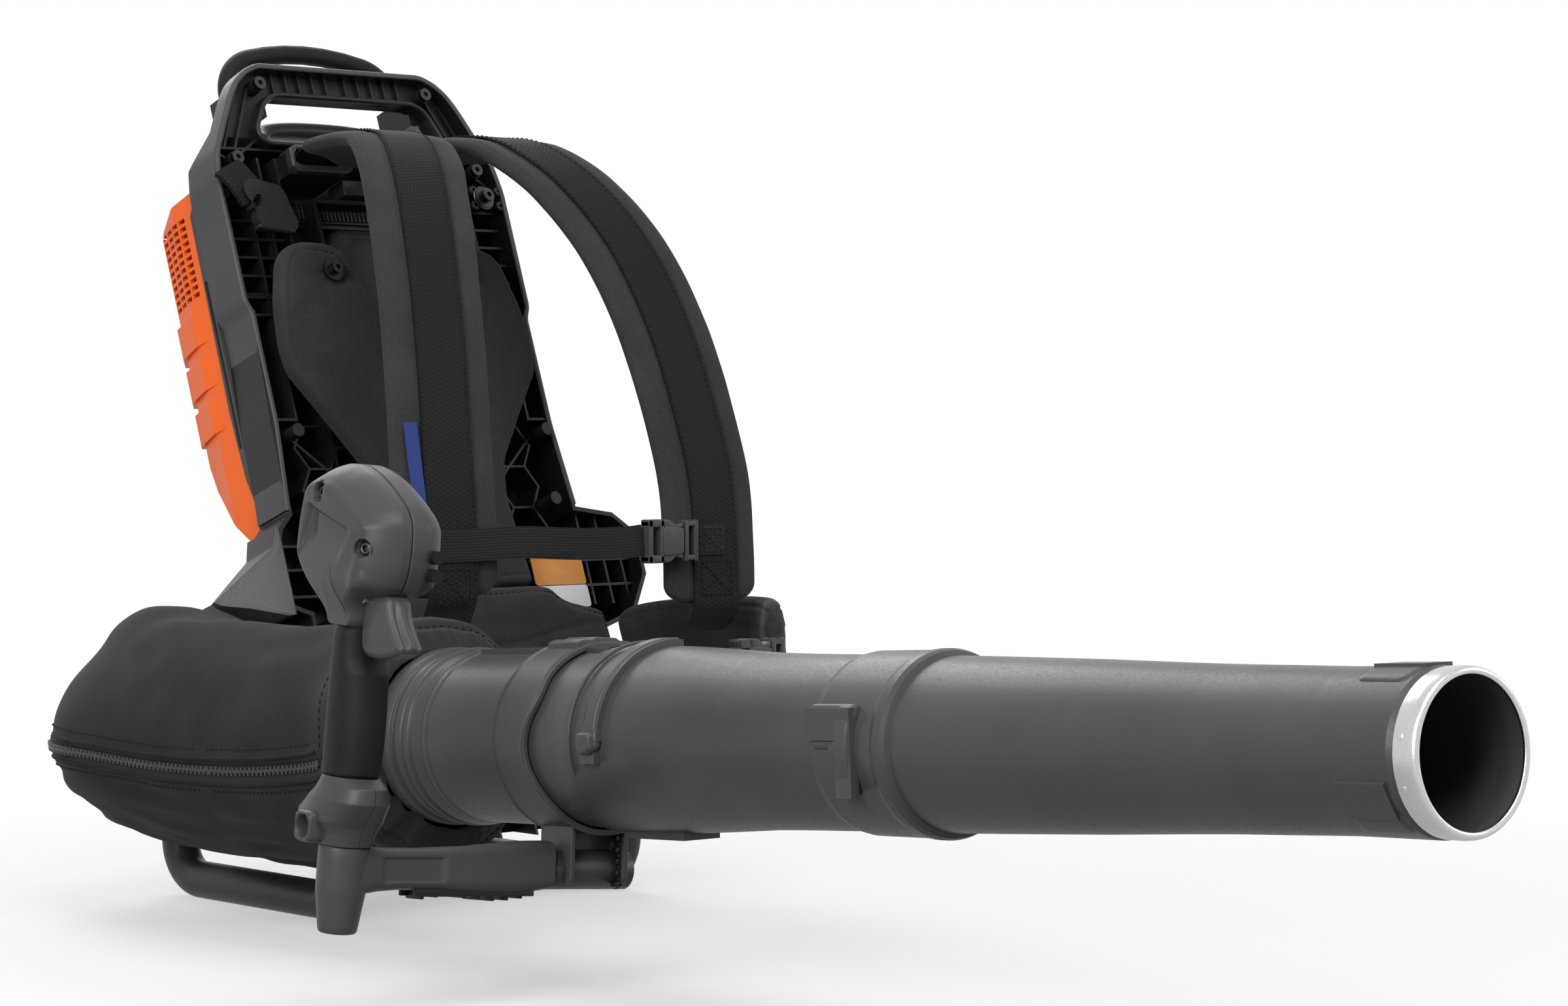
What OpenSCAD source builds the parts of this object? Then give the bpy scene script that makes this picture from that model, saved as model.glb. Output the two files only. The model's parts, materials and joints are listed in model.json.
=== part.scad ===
// Backpack leaf blower: harness frame, fan base, hose, blow pipe and control handle.
// Millimetres. +Z is up, -Y is the way the wearer faces and the pipe blows, -X is the wearer's right.

/* [Stance] */
// Backward lean of the harness plate, degrees
lean = 20; // [16:1:24]
// Height at which the front face of the plate crosses Y = 0
plate_z = 317; // [310:1:325]
// Height of the base's underside above the ground
base_z = 46; // [42:1:52]
// Width of the fan base
base_w = 236; // [232:1:240]
// Rear face of the fan base
base_back = 125; // [122:1:130]

/* [Frame] */
// Depth of the frame's rim
frame_t = 34; // [30:1:38]
// Thickness of moulded walls
wall = 3; // [2.4:0.2:3.6]
// Thickness of the frame's ribs
rib = 1.8; // [1.4:0.2:2.4]
// Radius of the long posts and bosses
post_r = 5; // [4:0.5:6]
// Radius of the screw holes in the top bosses
boss_hole_r = 2.2; // [1.5:0.1:2.8]
// Radius of the rear carrying hoop's tube
hoop_r = 6.5; // [6:0.25:7]
// Radius of the runner tubes
runner_r = 12.25; // [11:0.25:13]
// Distance of each runner from the middle
runner_x = 113; // [110:1:114]

/* [Pipe] */
// Outward angle of the blow pipe, degrees
pipe_yaw = 4.4; // [3:0.1:6]
// Rise of the blow pipe, degrees
pipe_rise = 3.5; // [2.5:0.1:4.5]
// Wall of the pipe mouldings
pipe_wall = 2.2; // [1.8:0.1:2.6]
// Outside radius of the rail tube that the handle slides on
rail_r = 49; // [48:0.25:50]
// Outside radius of the main tube at its rear end
main_r = 50.5; // [50:0.25:51]
// Outside radius of the main tube's front spigot
spigot_r = 44; // [43:0.25:44.5]
// Outside radius of the nozzle near its mouth
mouth_r = 36.8; // [36.2:0.1:37.4]
// Length of the steel ring at the mouth
ring_len = 13; // [10:1:16]
// Radial clearance of parts that turn in each other
run_fit = 0.08; // [0.04:0.01:0.1]

/* [Hose] */
// Radius of the hose's middle line in the elbow
elbow_bend = 52; // [48:1:54]
// Inside radius of the outlet duct and elbow
duct_r = 42; // [38:1:43]
// Thickness of the hose cover's fabric
cloth_t = 2; // [1.6:0.2:3]

/* [Handle] */
// Station of the arm along the pipe
arm_s = 113; // [110:1:116]
// Drop of the arm below the pipe's middle line
arm_drop = 72.5; // [70:0.5:75]
// Reach of the arm from the pipe to the grip
arm_len = 156.5; // [150:0.5:164]
// Roll of the clamp around the pipe, degrees
clamp_roll = 4.4; // [0:0.2:8]
// Forward lean of the grip, degrees
grip_lean = 6.3; // [0:0.1:9]
// Radius of the arm's round end
arm_r = 8; // [7:0.25:8.5]
// Width of the clamp band
band_w = 37; // [34:1:40]
// Half width of the control head
head_a = 23; // [22:0.5:24]

/* [Harness] */
// Width of the shoulder pads
strap_w = 78; // [70:1:80]
// Thickness of the shoulder pads
strap_t = 12; // [9:0.5:14]
// Width of the webbing on the pads
web_w = 38; // [30:1:42]
// Thickness of the webbing
web_t = 1.6; // [1.2:0.2:2.2]
// Width of the chest webbing
chest_w = 20; // [18:1:24]

/* [Fan] */
// Radius of the impeller
fan_r = 60; // [54:1:61]
// Depth of the impeller
fan_w = 46; // [40:1:50]
// Radius of the fan shaft
shaft_r = 5; // [4:0.25:6]
// Height of the fan shaft
fan_z = 118; // [117:0.5:119]

/* [Hidden] */
$fn = 64;
gap = 0.3;
eps = 0.01;
origin_x = -95;
origin_y = -426;

// ---- places -------------------------------------------------------------------------------

module place() {
  translate([-origin_x, -origin_y, 0]) children();
}

// Plate coordinates: X across, Y rearward from the plate's front face, Z up the plate.
module on_plate() {
  translate([0, 0, plate_z]) rotate([-lean, 0, 0]) children();
}

// Profile drawn with X = depth behind the plate and Y = height up the plate, extruded from x0 to x1.
module side_slab(x0, x1) {
  translate([x0, 0, 0]) rotate([90, 0, 90]) linear_extrude(x1 - x0) children();
}

// Outline drawn with X across and Y up the plate, extruded rearward from depth v0 to v1.
module face_slab(v0, v1) {
  translate([0, v1, 0]) rotate([90, 0, 0]) linear_extrude(v1 - v0) children();
}

// Pipe coordinates: X inboard, Y up, Z forward along the pipe, from the middle of the cuff's groove.
pipe_ref = [-175, -289.5, 136.5];
module on_pipe() {
  translate(pipe_ref) rotate([-pipe_rise, 0, -pipe_yaw]) rotate([90, 0, 0]) children();
}

// Arm coordinates: X inboard along the arm, Y up, Z forward.
module on_arm() {
  on_pipe() rotate([0, 0, -clamp_roll]) translate([0, -arm_drop, arm_s]) children();
}

// Grip coordinates: X inboard, Y up the grip, Z forward.
module on_grip() {
  on_arm() translate([-arm_len, 0, 0]) rotate([grip_lean, 0, 0]) children();
}

module both() {
  children();
  mirror([1, 0, 0]) children();
}

module up_rod(r, y0, y1) {
  translate([0, y0, 0]) rotate([-90, 0, 0]) cylinder(r = r, h = y1 - y0);
}

module across_rod(r, x0, x1) {
  translate([x0, 0, 0]) rotate([0, 90, 0]) cylinder(r = r, h = x1 - x0);
}

// ---- outlines -----------------------------------------------------------------------------

function unit(v) = v / norm(v);
function left_of(v) = [-v[1], v[0]];
// A counter-clockwise outline with every side moved inward by t.
function inset(p, t) = [
  for (i = [0 : len(p) - 1])
    let (
      a = p[(i + len(p) - 1) % len(p)],
      b = p[i],
      c = p[(i + 1) % len(p)],
      m = left_of(unit(b - a)),
      n = left_of(unit(c - b))
    )
    b + (m + n) * t / (1 + m * n)
];
function flip(p) = [for (i = [len(p) - 1 : -1 : 0]) [-p[i][0], p[i][1]]];

// ---- swept soft parts ---------------------------------------------------------------------

// Point on a smooth curve through the points p, at u from 0 to len(p) - 1.
function curve(p, u) =
  let (
    n = len(p) - 1,
    i = min(floor(u), n - 1),
    t = u - i,
    a = p[max(i - 1, 0)],
    b = p[i],
    c = p[i + 1],
    d = p[min(i + 2, n)]
  )
  (b * 2 + (c - a) * t + (a * 2 - b * 5 + c * 4 - d) * t * t + (b * 3 - a - c * 3 + d) * t * t * t) / 2;
function curve_all(p, n) = [for (k = [0 : n]) curve(p, k * (len(p) - 1) / n)];
function tangent(p, i) = unit(p[min(i + 1, len(p) - 1)] - p[max(i - 1, 0)]);

// Closed solid from rings of equal length; the rings turn clockwise seen along the path.
module skin(rings) {
  n = len(rings);
  m = len(rings[0]);
  points = [for (r = rings) for (q = r) q];
  sides = [
    for (i = [0 : n - 2]) for (j = [0 : m - 1])
      let (k = (j + 1) % m)
      each [
        [i * m + j, (i + 1) * m + j, (i + 1) * m + k],
        [i * m + j, (i + 1) * m + k, i * m + k]
      ]
  ];
  near = [for (j = [m - 1 : -1 : 0]) m - 1 - j];
  far = [for (j = [m - 1 : -1 : 0]) (n - 1) * m + j];
  polyhedron(points, concat(sides, [near], [far]), convexity = 8);
}

// Flat band along path p: w wide along the direction across, t thick, its corners cut.
module band(p, across, w, t, steps) {
  q = curve_all(p, steps);
  corner = min(t * 0.4, 4);
  section = [
    [w / 2, t / 2 - corner], [w / 2 - corner, t / 2], [corner - w / 2, t / 2],
    [-w / 2, t / 2 - corner], [-w / 2, corner - t / 2], [corner - w / 2, -t / 2],
    [w / 2 - corner, -t / 2], [w / 2, corner - t / 2]
  ];
  skin([
    for (i = [0 : len(q) - 1])
      let (
        f = tangent(q, i),
        a = unit(across - f * (across * f)),
        n = cross(f, a)
      )
      [for (s = section) q[i] + a * s[0] + n * s[1]]
  ]);
}

// ---- frame --------------------------------------------------------------------------------

top_w = 262;
foot_w = -300;
thin_t = 14;
thin_w = [189, 207];
frame_outline = [
  [118, foot_w], [118, -150], [150, -140], [168, -112], [168, -82], [150, -67], [119, -62],
  [114, 0], [114, 76], [118, 82], [118.5, 170], [115, 190], [104, 213], [95, 231], [88, 242],
  [79, 250], [68, 255], [-68, 255], [-79, 250], [-88, 242], [-95, 231], [-104, 213], [-115, 190],
  [-118.5, 170], [-118, 82], [-114, 76],
  [-118, 0], [-119, -62], [-128, -71], [-134, -84], [-167, -111], [-162, -114], [-118, -131],
  [-118, foot_w]
];
grip_hole = [
  [69, 200], [74, 203], [75.5, 209], [68, 224], [63, 230], [55, 233],
  [-55, 233], [-63, 230], [-68, 224], [-75.5, 209], [-74, 203], [-69, 200]
];
flare_x = [-130, -168];
bay_hole = [[30, -40], [34, 60], [36, 160], [-36, 160], [-34, 60], [-30, -40]];
pocket = [[112, 3], [112, 74], [97, 74], [97, 3]];
web_v = frame_t - wall;
hex_r = 17;
hex_step = hex_r * sqrt(3);
top_boss = [69, 241];
shoulder_boss = [99.5, 186];
mid_post = [103, -8];
low_post = [97, -58];
strap_slot = [40, 182];
pad_boss = [54, 101];
anchor = [100, 165];
lumbar_boss = [60, -150];
anchor_seat = 1.8;
pad_bolt_r = 2.3;
hoop_v = frame_t + 2;
hoop_half = 69.5;
hoop_bend = 30;
hoop_w = 247;
hoop_foot = 22;
hoop_turn = 75;

module ground_cut() {
  intersection() {
    children();
    translate([-250, -300, base_z]) cube([500, 600, 700]);
  }
}

module ribs_region() {
  difference() {
    polygon(inset(frame_outline, wall / 2));
    polygon(inset(grip_hole, -wall));
    polygon(inset(bay_hole, -wall));
    both() translate(strap_slot) square([44, 14], center = true);
  }
}

module rib_lines() {
  for (w = [-270 : 22 : -150]) translate([0, w]) square([240, rib], center = true);
  for (x = [-90 : 30 : 90]) translate([x, (foot_w - 128) / 2]) square([rib, -128 - foot_w], center = true);
  both() {
    for (w = [92 : 13 : 168]) translate([92, w]) square([44, rib], center = true);
    for (x = [64, 78, 92]) translate([x, 132]) square([rib, 116], center = true);
    for (w = [90, 196]) translate([60, w]) square([110, rib], center = true);
    for (x = [8 : 11 : 52]) translate([x, 244]) square([rib, 26], center = true);
    for (w = [-82, -98, -116]) translate([110, w]) square([110, rib], center = true);
    for (x = [124, 140, 155]) translate([x, -98]) square([rib, 64], center = true);
    for (a = [35, 145, 215, 325]) translate(shoulder_boss) rotate(a) translate([16, 0])
      square([32, rib], center = true);
    translate([84, 218]) rotate(-66) square([50, rib], center = true);
    translate([94, 215]) rotate(-66) square([44, rib], center = true);
    translate([66, 30]) square([rib, 120], center = true);
    translate([78, -28]) rotate(42) square([70, rib], center = true);
  }
}

module hex_lines() {
  both() for (i = [0 : 1], j = [0 : 3])
    translate([55 + i * hex_r * 1.5, -118 + j * hex_step + i * hex_step / 2])
      difference() {
        circle(r = hex_r + rib / 2, $fn = 6);
        circle(r = hex_r - rib / 2, $fn = 6);
      }
}

// The frame's depth: full behind the base and covers, thin around the carry opening.
function depth_line(t) = [
  [frame_t - t, foot_w], [frame_t - t, thin_w[0] - t / 2], [thin_t - t, thin_w[1] - t / 2],
  [thin_t - t, top_w]
];
function back_to_front(p) = [for (i = [len(p) - 1 : -1 : 0]) p[i]];

module rear_web() {
  intersection() {
    side_slab(-180, 180) polygon(concat(depth_line(0), back_to_front(depth_line(wall))));
    face_slab(0, frame_t) difference() {
      polygon(inset(frame_outline, wall / 2));
      polygon(grip_hole);
      polygon(bay_hole);
    }
  }
}

// The front of the left flare slopes back from the frame's face to its rear edge.
module flare_slope(near, far) {
  translate([0, 0, -136]) linear_extrude(76) polygon([
    [flare_x[0], near], [flare_x[1], web_v + near], [flare_x[1] - 20, web_v + near],
    [flare_x[1] - 20, web_v + far], [flare_x[1], web_v + far], [flare_x[0], far]
  ]);
}

module frame_depth() {
  intersection() {
    side_slab(-180, 180) polygon(concat(depth_line(0), [[-20, top_w], [-20, foot_w]]));
    union() children();
  }
}

module back_frame() {
  color([0.17, 0.17, 0.18]) {
    ground_cut() on_plate() difference() {
      union() {
        rear_web();
        both() translate([hoop_half - hoop_r - wall, thin_t - wall, hoop_w - hoop_foot - wall])
          cube([2 * (hoop_r + wall), hoop_v + hoop_r + 2 * wall - thin_t, hoop_foot]);
        frame_depth() {
          intersection() {
            face_slab(0, frame_t) polygon(frame_outline);
            flare_slope(0, 1.3 * wall);
          }
          difference() {
            union() {
              face_slab(0, frame_t) difference() {
                polygon(frame_outline);
                polygon(inset(frame_outline, wall));
              }
              face_slab(2, frame_t) difference() {
                polygon(inset(grip_hole, -wall));
                polygon(grip_hole);
              }
              face_slab(10, frame_t) difference() {
                polygon(inset(bay_hole, -wall));
                polygon(bay_hole);
              }
              face_slab(8, web_v + eps) intersection() {
                ribs_region();
                union() {
                  rib_lines();
                  hex_lines();
                }
              }
              both() {
                face_slab(1, frame_t) difference() {
                  polygon(inset(pocket, -rib));
                  polygon(pocket);
                }
                for (b = [pad_boss, lumbar_boss])
                  translate([b[0], -pad_gap + gap / 10, b[1]]) rotate([-90, 0, 0])
                    cylinder(r = post_r, h = frame_t + pad_gap - gap);
                for (b = [top_boss, shoulder_boss, anchor])
                  translate([b[0], b == anchor ? anchor_seat : 2, b[1]]) rotate([-90, 0, 0])
                    cylinder(r = post_r, h = frame_t - 2);
                for (b = [mid_post, low_post])
                  translate([b[0], -8, b[1]]) rotate([-90, 0, 0]) cylinder(r = post_r - 0.5, h = frame_t + 8);
                face_slab(-3, frame_t) translate(strap_slot) difference() {
                  square([46, 15], center = true);
                  square([web_w + 1, 6], center = true);
                }
                for (b = [[-8, 6], [-9, -5], [19, 6], [18, -5]])
                  translate([anchor[0] + b[0] * 0.8, 2, anchor[1] + b[1]]) rotate([-90, 0, 0])
                    cylinder(r = 3, h = frame_t - 2);
                translate([118 - 22, 0, foot_w]) cube([22, frame_t, 46]);
              }
            }
            flare_slope(-2 * frame_t, 0);
          }
        }
      }
      both() {
        for (b = [top_boss, shoulder_boss, anchor])
          translate([b[0], -1, b[1]]) rotate([-90, 0, 0]) cylinder(r = boss_hole_r, h = frame_t + 2);
        translate([pad_boss[0], -4, pad_boss[1]]) rotate([-90, 0, 0])
          cylinder(r = pad_bolt_r + run_fit, h = frame_t + 5);
      }
      face_slab(-1, frame_t + 1) both() translate(strap_slot) square([web_w + 1, 6], center = true);
      hoop_solid(hoop_r + run_fit);
    }
  }
}

// ---- rear covers --------------------------------------------------------------------------

side_w = 7;
vent_front = [
  [frame_t, 166], [frame_t + side_w - 1, 159], [frame_t + side_w + 1, 20],
  [frame_t + side_w - 2, -26], [frame_t, -46]
];
vent_rear = [
  [frame_t, -70], [49, -64], [63, -48], [79, -20], [90, 20], [96, 60], [100, 104],
  [104, 122], [97, 147], [80, 164], [58, 173], [frame_t, 174]
];
vent_side = concat(vent_front, vent_rear);
cover_plan = [[72, 20], [118, 20], [118, 60], [112, 84], [101, 99], [88, 107], [72, 110]];
cover_x = 118;
seam_x = 72;
slot_count = 11;
slot_pitch = 5.2;
slot_first = [frame_t + side_w + 6, 106];
slot_step = 9.6;
ridge_h = 2.4;
ridge_first = 96;
ridge_pitch = 30.5;
ridge_w = 21.5;
ridge_plan = [
  [78, frame_t + side_w + 2], [cover_x - 0.4, frame_t + side_w + 2], [cover_x + 1.4, 61], [114.4, 85.4],
  [103, 101], [89.5, 109.4], [78, 112]
];

module cover_solid(side, plan, x_in) {
  intersection() {
    side_slab(x_in, cover_x) polygon(side);
    translate([0, 0, -120]) linear_extrude(360) polygon(plan);
  }
}

module vent_cover() {
  difference() {
    union() {
      cover_solid(vent_side, cover_plan, seam_x + gap);
      for (w = [ridge_first : -ridge_pitch : ridge_first - 2.5 * ridge_pitch])
        intersection() {
          side_slab(ridge_plan[0][0], cover_x + ridge_h) translate([ridge_h, 0]) polygon(vent_side);
          translate([0, 0, w - ridge_w]) linear_extrude(ridge_w) polygon(ridge_plan);
        }
    }
    cover_solid(inset(vent_side, wall), inset(cover_plan, wall), seam_x);
    translate([seam_x - 1, frame_t - 1, -62]) cube([wall + 2, 62, 228]);
    for (i = [0 : slot_count - 1], j = [0 : 3])
      translate([cover_x - 30, slot_first[0], slot_first[1]])
        translate([0, j * slot_step, i * slot_pitch]) cube([60, slot_step - 2, 3]);
  }
}

module vent_cover_right() {
  color([1, 0.31, 0.04]) on_plate() mirror([1, 0, 0]) vent_cover();
}

module vent_cover_left() {
  color([1, 0.31, 0.04]) on_plate() vent_cover();
}

module side_cover() {
  edge = inset(back_to_front(vent_front), gap);
  difference() {
    side_slab(cover_x - 14, cover_x) polygon(edge);
    side_slab(cover_x - 15, cover_x - wall) polygon(inset(edge, 2));
    side_slab(cover_x - 20, cover_x + 5)
      polygon([[frame_t + 2, -5], [frame_t + side_w - 2, -5], [frame_t + side_w - 2, 112], [frame_t + 2, 112]]);
  }
}

module side_cover_right() {
  color([0.3, 0.3, 0.31]) on_plate() mirror([1, 0, 0]) side_cover();
}

module side_cover_left() {
  color([0.3, 0.3, 0.31]) on_plate() side_cover();
}

pack_a = 44;
pack_v = [70, 148];
pack_w = [2, 176];
spine_side = [
  [frame_t, -66], [100, -52], [122, -20], [122, 150], [112, 186], [60, 196], [frame_t, 196]
];
latch_a = 22;
latch_v = 84;
latch_travel = 3;

module battery_space(c) {
  translate([-pack_a - c, pack_v[0] - c, pack_w[0] - c]) cube([2 * (pack_a + c), 120, 240]);
}

module spine_housing() {
  color([0.13, 0.13, 0.14]) on_plate() difference() {
    side_slab(-seam_x, seam_x) polygon(spine_side);
    difference() {
      side_slab(wall - seam_x, seam_x - wall) polygon(inset(spine_side, wall));
      battery_space(gap + wall);
    }
    battery_space(gap);
  }
}

module battery_pack() {
  color([0.1, 0.1, 0.11]) on_plate() difference() {
    union() {
      side_slab(-pack_a, pack_a) polygon([
        [pack_v[0], pack_w[0]], [pack_v[1] - 16, pack_w[0]], [pack_v[1], pack_w[0] + 16],
        [pack_v[1], pack_w[1] - 22], [pack_v[1] - 14, pack_w[1]], [pack_v[0], pack_w[1]]
      ]);
    }
    for (w = [30 : 12 : 126]) translate([-30, pack_v[1] - 2, w]) cube([60, 4, 4]);
    translate([-latch_a - gap, latch_v - gap, pack_w[1] - 14]) cube([2 * (latch_a + gap), 18 + 2 * gap, 20]);
  }
}

module battery_latch() {
  color([0.2, 0.2, 0.21]) on_plate() {
    translate([-latch_a, latch_v, pack_w[1] - 14 + latch_travel + gap]) cube([2 * latch_a, 18, 12]);
    for (v = [3, 8, 13]) translate([5 - latch_a, latch_v + v, pack_w[1]]) cube([2 * latch_a - 10, 2, 3]);
  }
}

module hoop_arc(bend, from, turn, r) {
  rotate([90, 0, 0]) rotate([0, 0, from]) rotate_extrude(angle = turn) translate([bend, 0]) circle(r = r);
}

// Legs, corner bends and a flat crown arc, all meeting in tangents.
module hoop_solid(r) {
  crown = (hoop_half - hoop_bend) / cos(hoop_turn);
  translate([0, hoop_v, hoop_w]) {
    both() {
      translate([hoop_half, 0, -hoop_foot]) cylinder(r = r, h = hoop_foot);
      translate([hoop_half - hoop_bend, 0, 0]) hoop_arc(hoop_bend, 0, hoop_turn, r);
    }
    translate([0, 0, -crown * sin(hoop_turn)])
      hoop_arc(hoop_bend + crown, hoop_turn, 180 - 2 * hoop_turn, r);
  }
}

module carry_hoop() {
  color([0.09, 0.09, 0.1]) on_plate() hoop_solid(hoop_r);
}

// ---- base and fan -------------------------------------------------------------------------

split_y = 40;
base_a = base_w / 2;
duct_y = 75;
duct_z = 112;
fan_y = duct_y - fan_w / 2;
scroll_r = fan_r + 5;
scroll_y = [fan_y - 4, fan_y + fan_w + 4];
base_side = [
  [-64, base_z], [base_back - 14, base_z], [base_back, base_z + 14], [base_back, 177],
  [66, 197], [8, 239]
];
intake_r = 50;
motor_r = 30;
motor_y = [-18, scroll_y[0] - 6];
shaft_y = [-26, fan_y + fan_w + 2];
bearing_r = 11;
board_z = 160;

module base_solid() {
  side_slab(-base_a, base_a) polygon(base_side);
}

module base_hollow() {
  side_slab(wall - base_a, base_a - wall) polygon(inset(base_side, wall));
}

module plate_cut() {
  difference() {
    children();
    on_plate() translate([-200, -200, -400]) cube([400, 200 + frame_t + gap / 2, 700]);
  }
}

module y_rod(r, y0, y1) {
  translate([0, y0, fan_z]) rotate([-90, 0, 0]) cylinder(r = r, h = y1 - y0);
}

module duct(r) {
  translate([0, duct_y, duct_z]) rotate([0, -90, 0]) cylinder(r = r, h = 200);
}

module scroll(grow) {
  y_rod(scroll_r + grow, scroll_y[0] - grow, scroll_y[1] + grow);
  intersection() {
    duct(duct_r + grow);
    translate([-base_a, scroll_y[0] - grow - 20, 0]) cube([base_a, 200, 400]);
  }
}

module base_shell(y0, y1) {
  plate_cut() intersection() {
    difference() {
      union() {
        difference() {
          base_solid();
          base_hollow();
        }
        intersection() {
          scroll(wall);
          base_solid();
        }
        both() translate([runner_x - 15, -64, base_z]) cube([base_a - runner_x + 15, 190, 12]);
      }
      scroll(0);
    }
    translate([-200, y0, 0]) cube([400, y1 - y0, 400]);
  }
}

module base_front() {
  color([0.2, 0.2, 0.21]) difference() {
    union() {
      base_shell(-100, split_y);
      y_rod(motor_r + wall + gap, motor_y[0], split_y);
    }
    y_rod(motor_r + run_fit, motor_y[0] + wall, split_y + 1);
    y_rod(bearing_r, motor_y[0] - 5, split_y);
    scroll(0);
  }
}

module base_rear() {
  color([0.2, 0.2, 0.21]) difference() {
    base_shell(split_y + gap / 10, base_back + 1);
    y_rod(intake_r, scroll_y[1] - 1, base_back + 2);
    y_rod(motor_r + wall + 1, split_y - 5, scroll_y[0] + 1);
    for (a = [30 : 60 : 330])
      translate([intake_hole_r * cos(a), base_back - 5, fan_z + intake_hole_r * sin(a)])
        rotate([-90, 0, 0]) cylinder(r = 1.6, h = 6);
  }
}

intake_hole_r = intake_r + 6;

module intake_grille() {
  color([0.1, 0.1, 0.11]) translate([0, base_back + gap / 10, fan_z]) rotate([-90, 0, 0]) {
    for (r = [21 : 8 : intake_r - 4])
      difference() {
        cylinder(r = r + 1.5, h = 3.6);
        translate([0, 0, -1]) cylinder(r = r - 1.5, h = 6);
      }
    difference() {
      cylinder(r = intake_r + 10, h = 4);
      translate([0, 0, -1]) cylinder(r = intake_r - 1, h = 6);
      for (a = [30 : 60 : 330]) rotate(a) translate([intake_hole_r, 0, -1]) cylinder(r = 1.6, h = 6);
    }
    cylinder(r = 13, h = 4.4);
    for (a = [0 : 60 : 300]) rotate(a) translate([6, -1.5, 0.4]) cube([intake_r - 4, 3, 2.8]);
  }
}

module impeller() {
  blades = 11;
  hub_r = 14;
  color([0.25, 0.25, 0.26]) difference() {
    translate([0, fan_y, fan_z]) rotate([-90, 0, 0]) {
      cylinder(r = fan_r, h = 3);
      cylinder(r = hub_r, h = fan_w);
      intersection() {
        translate([0, 0, 1]) cylinder(r = fan_r - 1, h = fan_w - 2);
        for (i = [0 : blades - 1]) rotate(i * 360 / blades)
          translate([hub_r - 2, 0, 0]) rotate(18) cube([fan_r, 2.4, fan_w]);
      }
    }
    y_rod(shaft_r, fan_y - 1, fan_y + fan_w + 1);
  }
}

module fan_motor() {
  color([0.35, 0.35, 0.37]) difference() {
    y_rod(motor_r, motor_y[0] + wall + gap / 10, motor_y[1]);
    y_rod(shaft_r + 1, motor_y[0] - 1, motor_y[1] + 1);
    y_rod(bearing_r, motor_y[1] - 7, motor_y[1] + 1);
  }
}

module fan_shaft() {
  color([0.7, 0.7, 0.72]) y_rod(shaft_r, shaft_y[0], shaft_y[1]);
}

module shaft_bearings() {
  color([0.6, 0.6, 0.62]) difference() {
    union() {
      y_rod(bearing_r, motor_y[0] - 4, motor_y[0] + wall);
      y_rod(bearing_r, motor_y[1] - 7, motor_y[1]);
    }
    y_rod(shaft_r + run_fit, motor_y[0] - 10, motor_y[1] + 10);
  }
}

module control_board() {
  color([0.08, 0.3, 0.16]) {
    translate([-32, 4, board_z]) cube([64, 32, 1.6]);
    translate([-26, 8, board_z + 1]) cube([20, 18, 8]);
    translate([4, 12, board_z + 1]) cube([22, 14, 11]);
    translate([-4, 8, fan_z + motor_r + wall + 1.2 * gap]) cube([8, 24, board_z - fan_z - motor_r - wall]);
  }
}

hose_x = -base_a - 56;
flange_x = -base_a - gap / 10;
spigot_len = 14;

module elbow_solid(r) {
  translate([hose_x + elbow_bend, duct_y - elbow_bend, duct_z]) rotate([0, 0, 90])
    rotate_extrude(angle = 90) translate([elbow_bend, 0]) circle(r = r);
  translate([hose_x + elbow_bend, duct_y, duct_z]) rotate([0, 90, 0])
    cylinder(r = r, h = flange_x - hose_x - elbow_bend);
  translate([hose_x, duct_y - elbow_bend, duct_z]) rotate([90, 0, 0]) cylinder(r = r, h = spigot_len);
}

module outlet_elbow() {
  color([0.16, 0.16, 0.17]) difference() {
    elbow_solid(duct_r + wall);
    elbow_solid(duct_r);
  }
}

// ---- stance -------------------------------------------------------------------------------

runner_back = 114;
runner_front = -78;
runner_bend = 26;
cup_h = 7;
leg_top = base_z - runner_r - runner_bend - gap;

// Quarter bend from straight down to straight rearward, turning about the X axis.
module bend_up(bend, r) {
  rotate([0, 90, 0]) rotate_extrude(angle = 90) translate([bend, 0]) circle(r = r);
}

module runner() {
  translate([runner_x, 0, runner_r]) {
    translate([0, runner_front + runner_bend, 0]) rotate([-90, 0, 0])
      cylinder(r = runner_r, h = runner_back - runner_front - 2 * runner_bend);
    for (end = [[runner_back, 0], [runner_front, 180]]) translate([0, end[0], runner_bend]) {
      rotate([0, 0, end[1]]) translate([0, -runner_bend, 0]) bend_up(runner_bend, runner_r);
      cylinder(r = runner_r, h = leg_top);
    }
  }
}

module runner_right() {
  color([0.22, 0.22, 0.23]) mirror([1, 0, 0]) runner();
}

module runner_left() {
  color([0.22, 0.22, 0.23]) runner();
}

module runner_mounts() {
  color([0.12, 0.12, 0.13]) both() for (y = [runner_back, runner_front])
    difference() {
      translate([runner_x, y, base_z - cup_h - gap / 10]) cylinder(r = runner_r + wall, h = cup_h);
      translate([runner_x, y, base_z - cup_h - 1]) cylinder(r = runner_r + run_fit, h = cup_h + 2);
    }
}

module screw(length) {
  rotate([-90, 0, 0]) {
    difference() {
      cylinder(r = 4.5, h = 3.5);
      translate([0, 0, -1]) cylinder(r = 2, h = 3, $fn = 6);
    }
    translate([0, 0, 3.5 - eps]) cylinder(r = boss_hole_r - run_fit, h = length);
  }
}

module frame_screws() {
  color([0.15, 0.15, 0.16]) on_plate() {
    both() for (b = [top_boss, shoulder_boss]) translate([b[0], 2 - 3.5, b[1]]) screw(10);
    for (side = [-1, 1]) translate([side * anchor[0], 0, anchor[1]]) {
      translate([0, -washer_t - 3.5, 0]) screw(24);
      translate([0, -washer_t, 0]) rotate([-90, 0, 0])
        cylinder(r = 7.5, h = side > 0 ? washer_t + anchor_seat - gap / 10 : washer_t);
    }
  }
}

// ---- harness ------------------------------------------------------------------------------

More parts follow.
